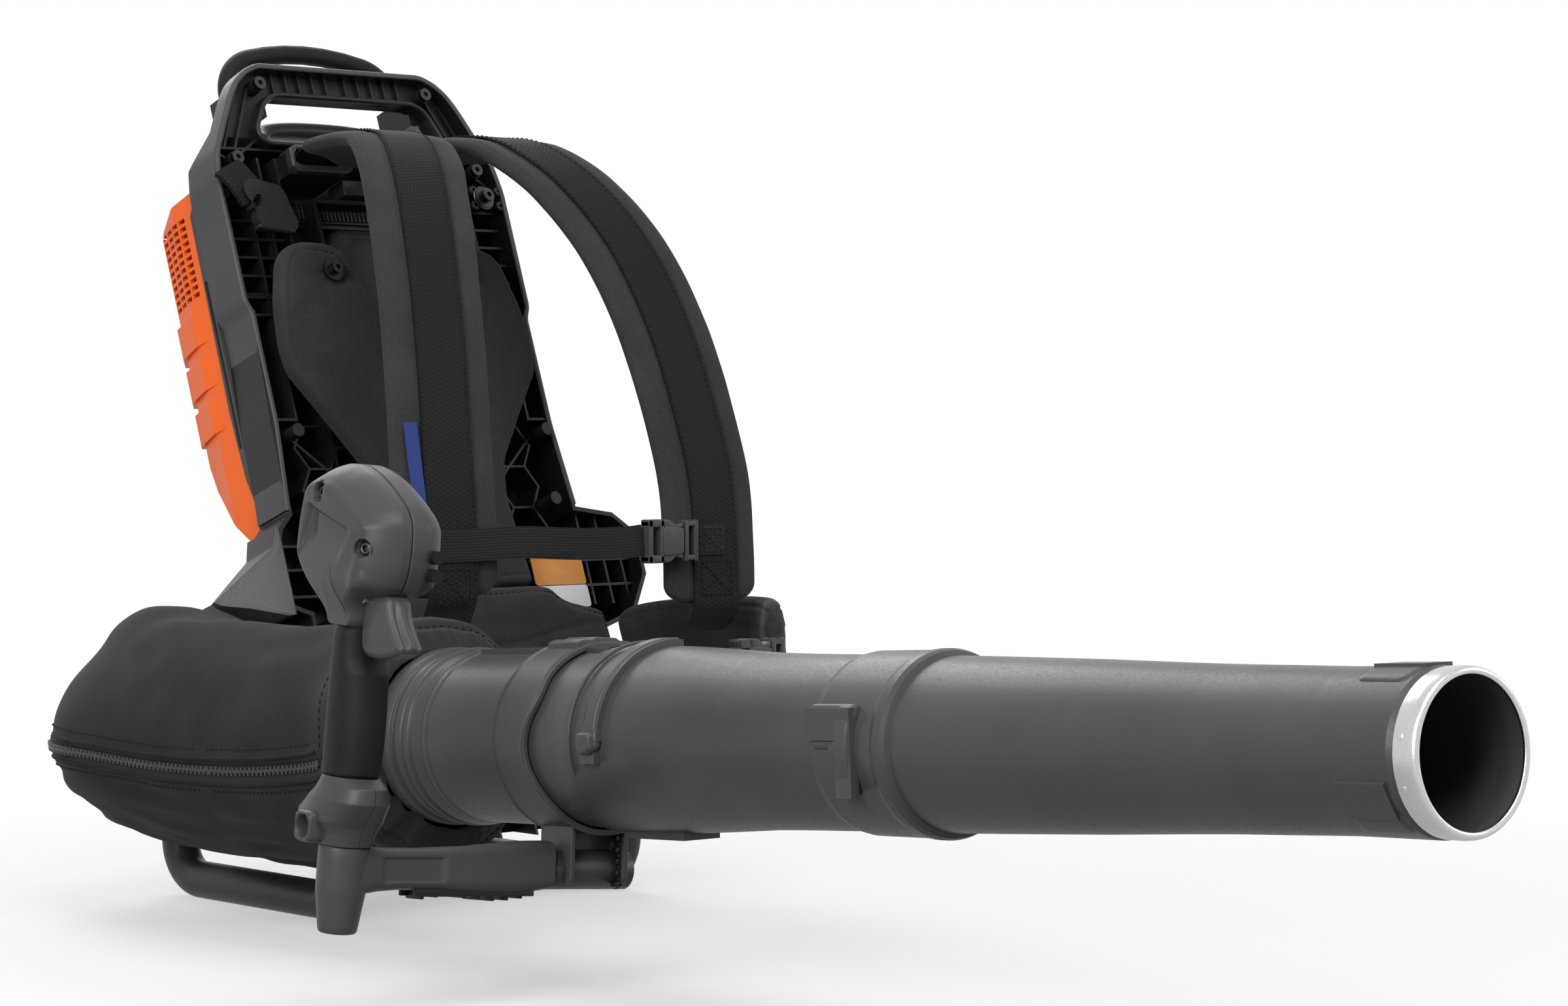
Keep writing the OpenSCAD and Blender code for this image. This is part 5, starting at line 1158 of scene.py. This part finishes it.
def coverRings(n=300, m=240):
    k = coverShape
    knots = np.concatenate([np.array(k["line"], float), np.array([k["out"], k["in"], k["up"], k["down"]], float).T],
                           1)
    fine = smoothPath(knots, 1600)
    run = lengthsOf(fine[:, :3])
    s = np.linspace(0, run[-1], n)
    even = sampled(s, run, fine)
    q, reach = even[:, :3], even[:, 3:]
    f = tangents(q)
    f[s < 12] = [-1, 0, 0]
    f = np.stack([np.convolve(np.pad(f[:, c], 7, "edge"), np.ones(15) / 15, "valid") for c in range(3)], 1)
    f = unit(f)
    x = np.cross(f, [0, 0, 1])
    x = unit(x)
    y = np.cross(x, f)
    w = fullTurn(m)  # w = 0 outward, pi/2 up
    side = np.cos(w)[None] * np.where(np.cos(w) > 0, reach[:, :1], reach[:, 1:2])
    rise = np.sin(w)[None] * np.where(np.sin(w) > 0, reach[:, 2:3], reach[:, 3:])
    # folds: cloth hangs in long shallow creases, gathered at both hems and slack over the back
    left = s[-1] - s
    hem = np.exp(-left / 26)[:, None]
    rear = np.exp(-s / 34)[:, None]
    long = ripple((s[:, None] / 210, np.sin(w + 0.6)[None] * 1.5 + np.cos(2 * w)[None] * 0.5), 7, 0.9, 14)
    fine = ripple((s[:, None] / 34, w[None] * 0.9), 9, 1.1, 14)
    gather = np.sin(w * 13 + 1.9 * np.sin(w * 3)) * 0.7 + np.sin(w * 7 + 2 * np.sin(w * 2)) * 0.6
    ruffle = np.sin(w * 41 + 2.2 * np.sin(w * 7)) * 0.45
    fold = 1.9 * np.tanh(long * 1.1) + 0.45 * fine + gather[None] * (0.9 * hem + 1.5 * rear)
    fold += ruffle[None] * bell(left - 5, 5)[:, None]
    zipLine = (w + math.pi) % (2 * math.pi) - math.pi - k["zip"]
    inZip = smoothStep(s, 70, 100) * smoothStep(left, 22, 50)
    reachNow = np.hypot(side, rise)
    arc = zipLine[None] * reachNow
    groove = -2.2 * np.exp(-(arc / 4.2) ** 4) + 1.2 * bell(np.abs(arc) - 6.6, 2.4)
    fold = fold * (1 - 0.75 * bell(arc, 12) * inZip[:, None]) + groove * inZip[:, None]
    band = -2.4 * bell(left - 13, 2.6)[:, None]
    sag = -1.8 - 8.5 * (np.sin(2 * w) ** 2 * (w < math.pi / 2))[None] * (bell(s - 60, 55))[:, None]
    scale = 1 + (fold + band + sag) / np.maximum(reachNow, 20)
    side, rise = side * scale, rise * scale
    rings = q[:, None] + x[:, None] * side[..., None] + y[:, None] * rise[..., None]
    normal = x[:, None] * (side / reachNow)[..., None] + y[:, None] * (rise / reachNow)[..., None]
    return rings, normal, w


def bentPiece(name, part, tone, replaces, sharp=75):  # a piece baked into place, on no body
    points, faces = part
    piece = finishPiece(name, makeMesh(name, toRow(points), faces), tone, None, replaces, sharp)
    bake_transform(piece)


def makeCover():
    rings, normal, w = coverRings()
    cut = int(np.argmin(np.abs(rings[:, :, 1].mean(1) - coverShape["split"])))
    for half, part in (("Rear", slice(0, cut + 1)), ("Front", slice(cut, None))):
        outer = rings[part]
        inner = outer - normal[part] * coverShape["cloth"]
        skin = skinned(np.concatenate([outer, inner[::-1]]), closeRings=True)
        bentPiece("cover" + half, skin, "cover", ("hose_cover",))
    k = int(np.argmin(np.abs((w + math.pi) % (2 * math.pi) - math.pi - coverShape["zip"])))
    return rings, normal, k, cut


coverSkin, coverOut, zipAt, zipCut = makeCover()
zipLine, zipOut = coverSkin[:, zipAt], coverOut[:, zipAt]


ringW = fullTurn(10)


def makeZip():  # teeth are small blocks that alternate either side of the middle
    run = lengthsOf(zipLine)
    for half, low, high in (("Rear", 88, run[zipCut]), ("Front", run[zipCut], run[-1] - 42)):
        parts = []
        s = np.arange(low, high, 2.1)
        at = sampled(s, run, zipLine)
        out = sampled(s, run, zipOut)
        f = tangents(at)
        up = np.cross(out, f)
        up = unit(up)
        for i in range(len(s)):
            sgn = 1 if i % 2 else -1
            pts, faces = box([-0.75, -2.8, 0.4], [0.75, 1.0, 2.7], 0.5, 0.35)
            pts = at[i] + pts[:, :1] * f[i] + pts[:, 1:2] * up[i] * sgn + pts[:, 2:] * out[i]
            parts.append((pts, faces))
        tape = np.array([[-6, -0.5], [6, -0.5], [6, 0.6], [4, 1.0], [-4, 1.0], [-6, 0.6]])
        strip = [skinned(at[:, None] + up[:, None] * tape[:, :1] + out[:, None] * (tape[:, 1:] - 0.2))]
        for beside in (-7, -4, 4, 7):  # piping cords and a stitch line follow the cloth beside the tape
            near = [sampled(s, run, v[:, (zipAt + beside) % v.shape[1]]) for v in (coverSkin, coverOut)]
            if abs(beside) > 4:
                strip += stitchRow(near[0][::4] + near[1][::4] * 0.2, near[1][::4], 2.6, 4.4, 0.7)
            else:
                cord = near[0] + near[1] * 0.3
                strip.append(skinned(cord[:, None] + up[:, None] * 1.1 * np.cos(ringW)[None, :, None] + near[1][:,
                    None] * 1.1 * np.sin(ringW)[None, :, None]))
        if half == "Front":  # stitched hem in front
            for i in (-30, -12):
                hem, face = (np.concatenate([v[i], v[i][:1]])[::3] for v in (coverSkin, coverOut))
                strip += stitchRow(hem + face * 0.2, face, 2.8, 5.0, 0.7)
        bentPiece("zip" + half, joined(parts), "teeth", ("hose_cover",), 30)
        bentPiece("zip" + half + "Tape", joined(strip), "binding", ("hose_cover",), 30)


makeZip()
bellows = {
    "route": [[-174, 8.7, 112], [-174, -0.3, 112], [-174, -9.3, 112], [-177, -39.3, 113.5], [-170.5, -153.2, 125.1],
              [-167.3, -190.0, 130.4], [-170.2, -226.8, 132.7]],
    "radius": 42.0, "rib": 1.7, "pitch": 11.0, "wall": 2.2, "ringY": -188.0, "ring": 46.2, "wire": 1.7,
}


def makeBellows():  # corrugated hose: radius + rib cos(2 pi s / pitch), kept clear of the bent cover
    k = bellows
    q, s = evenPath(k["route"], 300)
    r = k["radius"] + k["rib"] * np.cos(2 * math.pi * s / k["pitch"])
    w = np.linspace(0, 2 * math.pi, 64, endpoint=False)
    circle = np.stack([np.cos(w), np.sin(w)], -1)
    outer, inner = (sweep(q, circle * (r - d)[:, None, None], (1, 0, 0)) for d in (0, k["wall"]))
    cut = int(np.argmin(np.abs(q[:, 1] - coverShape["split"])))
    for half, part in (("Rear", slice(0, cut + 1)), ("Front", slice(cut, None))):
        skin = skinned(np.concatenate([outer[part], inner[part][::-1]]), closeRings=True)
        bentPiece("bellows" + half, skin, "black", ("bellows_hose",))
    # support wire round the bellows, set square to its path
    i = int(np.argmin(np.abs(q[:, 1] - k["ringY"])))
    f = tangents(q)[i]
    a = np.cross(f, [0, 0, 1]) / np.linalg.norm(np.cross(f, [0, 0, 1]))
    w = np.linspace(0, 2 * math.pi, 120, endpoint=False)[:, None, None]
    u = np.linspace(0, 2 * math.pi, 16, endpoint=False)[None, :, None]
    spoke = a * np.cos(w) + np.cross(a, f) * np.sin(w)
    rings = q[i] + spoke * (k["ring"] + k["wire"] * np.cos(u)) + f * k["wire"] * np.sin(u)
    bentPiece("hoseRing", skinned(rings, closeRings=True), "steel", ("hose_ring",))


makeBellows()
print("cover made")


# ---- back frame details, in the plate's axes: x across, y rearward, z up the plate
frameLook = {
    "outline": [[-119.4, -60], [-114.4, -1], [-114.4, 76], [-118.4, 84], [-118.8, 170], [-115.3, 190],
                [-104.2, 213], [-95.2, 231], [-88.2, 242],
                [-79.1, 250.1], [-68, 255.2], [68, 255.2], [79.1, 250.1], [88.2, 242], [95.2, 231], [104.2,
                    213], [115.3, 190], [118.8, 170],
                [118.4, 84], [114.4, 76], [114.4, -1], [119.4, -60]],
    "grip": [[69, 200], [74, 203], [75.5, 209], [68, 224], [63, 230], [55, 233], [-55, 233], [-63, 230], [-68, 224],
             [-75.5, 209], [-74, 203], [-69, 200]],
    "flare": [[-69, -129.5], [-71, -130.2], [-84, -134], [-97, -150], [-111, -167], [-114, -164], [-120, -150],
              [-131, -130.2]],
}


def openRun(outline, radius):  # fillets every inner corner of an open line
    p = np.asarray(outline, float)
    out = [p[:1]]
    for a, b, c in zip(p[:-2], p[1:-1], p[2:]):
        u, v = a - b, c - b
        reach = min(radius, 0.45 * np.linalg.norm(u), 0.45 * np.linalg.norm(v))
        u, v = b + u / np.linalg.norm(u) * reach, b + v / np.linalg.norm(v) * reach
        t = np.linspace(0, 1, 7)[:, None]
        out.append((1 - t) ** 2 * u + 2 * t * (1 - t) * b + t**2 * v)
    return np.concatenate(out + [p[-1:]])


def sideNormal(line, closed=False):  # unit normals on the left of an open or closed line
    d = (np.roll(line, -1, 0) - np.roll(line, 1, 0)) if closed else np.gradient(line, axis=0)
    d = unit(d)
    return np.stack([-d[:, 1], d[:, 0]], 1)


def frameSkin():
    # outer skirt with a rolled front lip: section points are (outward, depth), depth shrinks over the carry opening
    line = openRun(frameLook["outline"], 5)
    out = sideNormal(line)
    depth = np.interp(line[:, 1], [-60, 188, 207], [33.4, 33.4, 13.4])
    rows = []
    for off, v in ((0.15, None), (1.0, None), (1.0, 1.8), (0.85, 0.5), (0.35, -0.35), (-0.5, -0.75), (-1.9, -0.75),
                   (-2.6, -0.45), (-2.9, 0.1), (-2.9, 1.2), (0.1, 1.2)):
        p = line + out * off
        rows.append(np.stack([p[:, 0], depth if v is None else np.full(len(p), v), p[:, 1]], 1))
    ringPiece("frameSkin", np.stack(rows, 1), plate, "greyFrame", "backpack", "frame_black", (), 40)
    # lip of the carry opening
    line = fillet(frameLook["grip"], 5, 6)
    into = inward(line)
    rows = []
    for k in range(14):
        a = 2 * math.pi * k / 14
        p = line - into * (1.5 + 1.9 * math.cos(a))
        rows.append(np.stack([p[:, 0], np.full(len(p), 2.4 + 2.2 * math.sin(a)), p[:, 1]], 1))
    points, faces = skinned(np.array(rows), closeRings=True)
    finishPiece("gripLip", makeMesh("gripLip", toRow(points, plate), faces), "frame", "backpack", (),
                40)
    # flared wing under the skirt: x = front + (back - front) t, slanting to the rear edge, with a rolled border
    rows = []
    for w in np.linspace(-70.4, -130, 60):
        back = np.interp(-w, [-r[0] for r in frameLook["flare"]], [r[1] for r in frameLook["flare"]])
        t = np.linspace(0, 1, 24)
        x = -129.9 + (back + 129.9) * t
        y = (-130 - x) * 31 / 38 - 1.0 - 0.5 * np.sin(t * math.pi)
        front = [[-128.9, 2.6], [-128.6, 0.4], [-129.1, -0.7]]
        rear = [[x[-1] - 0.9, y[-1] + 0.6], [x[-1] - 1.2, y[-1] + 2], [x[-1] - 1.0, 33.6], [x[-1] + 0.5, 33.6]]
        ring = np.concatenate([front, np.stack([x, y], 1), rear])
        rows.append(np.stack([ring[:, 0], ring[:, 1], np.full(len(ring), w)], 1))
    ringPiece("shoulderWing", np.array(rows), plate, "greyFrame", "backpack", "frame_black", (), 40)


def frameDetails():
    # cooling comb behind the bay: thin upright fins between two rails
    comb = [box([-46, 22, 150.5], [24, 25, 152.6], 0.6, 0.4), box([-46, 22, 164.2], [24, 25, 166.2], 0.6, 0.4)]
    comb += [box([-46, 21, 157.5], [24, 24, 158.6], 0.4, 0.3)]
    comb += [box([-44 + 3.3 * i, 20.5, 152], [-42.6 + 3.3 * i, 25, 165], 0.5, 0.35) for i in range(21)]
    comb.append(box([-48, 25.2, 148], [26, 27, 169], 1.5, 0.6, 1))
    comb.append(slab(fillet([[-12, 166], [12, 166], [13, 177], [-12, 177]], 1.6, 5), 8, 26, 1.2, 3, (0, 2, 1)))
    partsPiece("coolingComb", comb, plate, "dark", "backpack", (), 30)
    # rounded hump of the motor cowl, with a raised window
    outline = fillet([[-34, 60], [40, 60], [44, 96], [34, 138], [22, 147], [-16, 147], [-28, 138], [-38, 96]], 16, 7)

    def window(x, w, d):
        return 0.9 * bell(d - 9, 1.2)

    hump = cushion(outline, 13.0, 31.0, window, 90, 80, 20, 2.1)
    ringPiece("cowlHump", hump, plate, "rim", "backpack", "frame_black", (), 60)
    # webbing anchor brackets: a rounded box frame that stands forward of the plate
    parts = []
    for sgn in (-1, 1):
        ring = fillet(np.array([[-24.5, -9.5], [24.5, -9.5], [24.5, 9.5], [-24.5, 9.5]]) + [37.5 * sgn, 184.5], 3.4,
                      5)
        hole = fillet(np.array([[-21, -4.6], [21, -4.6], [21, 6], [-21, 6]]) + [37.5 * sgn, 184.5], 2, 5)
        n = len(ring)
        hole = closedEven(hole, n)
        ring = closedEven(ring, n)
        start = int(np.argmin(np.linalg.norm(hole - ring[0], axis=1)))
        hole = np.roll(hole, -start, 0)
        rows = []
        for shape, y in ((ring, 4), (ring, -7.5), (ring + inward(ring) * 1.2, -8.8),
                         (hole - inward(hole) * 1.0, -8.8), (hole, -7.6), (hole, 4)):
            rows.append(np.stack([shape[:, 0], np.full(n, float(y)), shape[:, 1]], 1))
        parts.append(skinned(np.array(rows), closeRings=True))
    partsPiece("webAnchors", parts, plate, "rim", "backpack", (), 30)
    # rounded bar seen through the carry opening
    bar = [[-60, 30, 212], [-48, 40, 222], [-20, 44, 227], [20, 44, 227], [48, 40, 222], [60, 30, 212]]
    q = evenPath(bar, 90)[0]
    ringPiece("carryBar", sweep(q, superEllipse(5.6, 8.6, 2.6, 48), (0, 0, 1)), plate, "grey", "backpack",
              "grey_moulding", (), 50)
    # washers and hex heads of the shoulder screws, with the four small bosses beside each
    parts, bosses = [], []
    for sgn in (-1, 1):
        at = np.array([100 * sgn, 0, 165])
        parts.append(turned(lathe([[-1.2, 2.4], [-1.2, 8.0], [-0.8, 8.6], [0.6, 8.6], [0.6, 2.4]], 60, 1),
                            (at, np.eye(3))))
        parts.append(turned(lathe([[-7.5, 1.9], [-7.5, 4.0], [-6.9, 4.6], [-1.0, 4.6], [-1.0, 1.9]], 40, 1),
                            (at, np.eye(3))))
        parts.append(turned(rod(2.2, -5.2, -1, 1, (0, 0), 0.3, 6), (at, np.eye(3))))
        for bx, bw in ((-8, 6), (-9, -5), (19, 6), (18, -5)):
            bosses.append(turned(lathe([[-0.6, 1.3], [-0.6, 3.0], [0.2, 3.6], [2.4, 3.6], [2.4, 1.3]], 32, 1),
                                 (at + [bx * 0.8 * sgn, 0.6, bw], np.eye(3))))
    partsPiece("shoulderScrews", parts, plate, "screw", "backpack", (), 30)
    partsPiece("smallBosses", bosses, plate, "frame", "backpack", (), 30)
    # plain two-tone panel beside the lumbar pad
    for name, low, high, tone in (("panelUpper", -118, -92, "labelOrange"), ("panelLower", -134, -118.4, "label")):
        outline = fillet([[68, low], [112, low], [112, high], [68, high]], 2.5, 5)
        points, faces = slab(outline, -1.6, -0.8, 0.3, 2, (0, 2, 1))
        finishPiece(name, makeMesh(name, toRow(points, plate), faces), tone, "backpack", (), 30)


def lifterLoop():
    # folded webbing that holds the loose buckle to the frame
    route = [[-112, -2, 176], [-110, -5, 172], [-107, -8.4, 164], [-104, -9.6, 157], [-101, -9.6, 151.5]]
    p, run = evenPath(route, 60)
    f = tangents(p)
    b = np.cross(f, np.array([0, -1.0, 0]))
    b = unit(b)
    n = np.cross(b, f)
    v = np.concatenate([np.linspace(-1, 1, 13), np.linspace(1, -1, 13)])
    face = np.concatenate([np.ones(13), -np.ones(13)])
    parts = []
    for lift in (0, 2.0):
        web = p[:, None] + b[:, None] * (v * 11.5)[None, :, None] + n[:,
            None] * (face * 0.75 * (1 - 0.4 * np.abs(v) ** 8) + lift)[None, :, None]
        parts.append(web)
    uv = np.concatenate([np.stack(np.broadcast_arrays((run / 1000)[:, None], (v * 11.5 / 1000)[None]),
                                  -1).reshape(-1, 2)] * 2)
    points, faces = joined([skinned(w) for w in parts])
    finishPiece("lifterWebbing", makeMesh("lifterWebbing", toRow(points, plate), faces, uv), "mesh", "backpack",
                ("lifter_strap",), 50)


def makeLifter():
    # empty socket of a side-release buckle, mouth down: body, ear, rim of the side window, and a near-black block in
    # the mouth as painted shade of its empty inside
    body = fillet([[-109, 160], [-105, 163.5], [-100, 163], [-82, 159.5], [-79, 154], [-77.5, 147], [-73.5, 135],
                   [-77, 129], [-101, 132.5], [-104.5, 139], [-102, 143], [-103, 147], [-108.5, 153]], 2.4, 6)
    hole = superEllipse(3.0, 5.6, 2.2, len(body))
    tilt = math.radians(38)
    hole = np.stack([-101.6 + hole[:, 0] * math.cos(tilt) + hole[:, 1] * math.sin(tilt),
                     149 - hole[:, 0] * math.sin(tilt) + hole[:, 1] * math.cos(tilt)], 1)
    rings = []
    hole = closedEven(hole, len(body))
    if inward(hole).dot([1, 0]).argmax() and signedArea(hole) * signedArea(body) < 0:
        hole = hole[::-1]
    ring = closedEven(body, len(body))
    hole = np.roll(hole, -int(np.argmin(np.linalg.norm(hole - ring[0], axis=1))), 0)
    into = inward(ring)
    for shape, y in ((ring, -6.4), (ring, -13.4), (ring + into * 0.5, -14.2), (ring + into * 1.4, -14.6),
                     (hole, -14.6), (hole, -6.4)):
        rings.append(np.stack([shape[:, 0], np.full(len(ring), y), shape[:, 1]], 1))
    mouthTurn = np.array([[0.99, 0, 0.12], [0, 1, 0], [-0.12, 0, 0.99]])
    parts = [skinned(np.array(rings), closeRings=True)]
    parts.append(turned(box([-14, -3.6, -1.5], [14, 3.6, 1.5], 1.6, 0.7, 1),
                        (np.array([-89.5, -10.4, 130.6]), mouthTurn)))
    partsPiece("lifterBuckle", parts, plate, "dark", "backpack", ("lifter_buckle",), 30)
    # near-black block set in the socket's mouth: painted shade of the hollow inside
    mouth = turned(box([-11.4, -2.5, -1.2], [11.4, 2.6, 1.2], 1.2, 0.4, 1),
                   (np.array([-89.6, -10.4, 129.9]), mouthTurn))
    partsPiece("lifterMouthShade", [mouth], plate, "paintedShade", "backpack", (), 30)


frameSkin()
frameDetails()
lifterLoop()
makeLifter()
print("frame details made")


# ---- floor and light
studio = {"floorTone": 0.9, "floorBounce": 0.22, "worldStrength": 0.25, "lamps": [
    ((-1.9, -0.7, 1.0), 1.1, 32), ((-0.5, -1.2, 2.1), 1.5, 32), ((1.5, -1.5, 0.9), 1.0, 7), ((0.5, 1.5, 1.5), 1.2,
        14),
]}


def makeStage():
    w = 6.0
    mesh = bpy.data.meshes.new("floor")
    mesh.from_pydata([(-w, -w, 0), (w, -w, 0), (w, w, 0), (-w, w, 0)], [], [(0, 1, 2, 3)])
    material, net, shader = newMaterial("paleFloor")
    shader.inputs["Roughness"].default_value = 0.8
    shader.inputs["Specular IOR Level"].default_value = 0.1
    glow = net.nodes.new("ShaderNodeEmission")
    path = net.nodes.new("ShaderNodeLightPath")
    split = net.nodes.new("ShaderNodeVectorMath")
    split.operation = "LENGTH"
    net.links.new(net.nodes.new("ShaderNodeTexCoord").outputs["Object"], split.inputs[0])
    far = ramp(net, split.outputs["Value"], 0.4, 1.05, 0.45, 1)
    seen = maths(net, "MAXIMUM", path.outputs["Is Camera Ray"], path.outputs["Is Glossy Ray"])
    dim, bright = [studio["floorBounce"]] * 3, [studio["floorTone"]] * 3
    net.links.new(blendColour(net, path.outputs["Is Camera Ray"], dim, bright), shader.inputs["Base Color"])
    mix = net.nodes.new("ShaderNodeMixShader")
    net.links.new(maths(net, "MULTIPLY", far, seen), mix.inputs[0])
    net.links.new(shader.outputs[0], mix.inputs[1])
    net.links.new(glow.outputs[0], mix.inputs[2])
    net.links.new(mix.outputs[0], net.nodes["Material Output"].inputs["Surface"])
    mesh.materials.append(material)
    floor = bpy.data.objects.new("floor", mesh)
    bpy.context.scene.collection.objects.link(floor)
    world = bpy.data.worlds.new("studio")
    bpy.context.scene.world = world
    world.use_nodes = True
    net = world.node_tree
    back = net.nodes["Background"]
    back.inputs["Color"].default_value = (1, 1, 1, 1)
    path = net.nodes.new("ShaderNodeLightPath")
    seen = maths(net, "MAXIMUM", path.outputs["Is Camera Ray"], path.outputs["Is Transmission Ray"])
    seen = maths(net, "MAXIMUM", seen, path.outputs["Is Glossy Ray"])
    net.links.new(ramp(net, seen, 0, 1, studio["worldStrength"], 1.0), back.inputs["Strength"])
    for at, size, power in studio["lamps"]:
        light = bpy.data.lights.new("softbox", "AREA")
        light.size, light.energy = size, power
        lamp = bpy.data.objects.new("softbox", light)
        lamp.location = at
        aim = np.array([0, -0.05, 0.25]) - np.array(at)
        lamp.rotation_euler = (math.atan2(math.hypot(aim[0], aim[1]), -aim[2]), 0,
                               math.atan2(aim[1], aim[0]) - math.pi / 2)
        bpy.context.scene.collection.objects.link(lamp)


makeStage()
print("stage set")
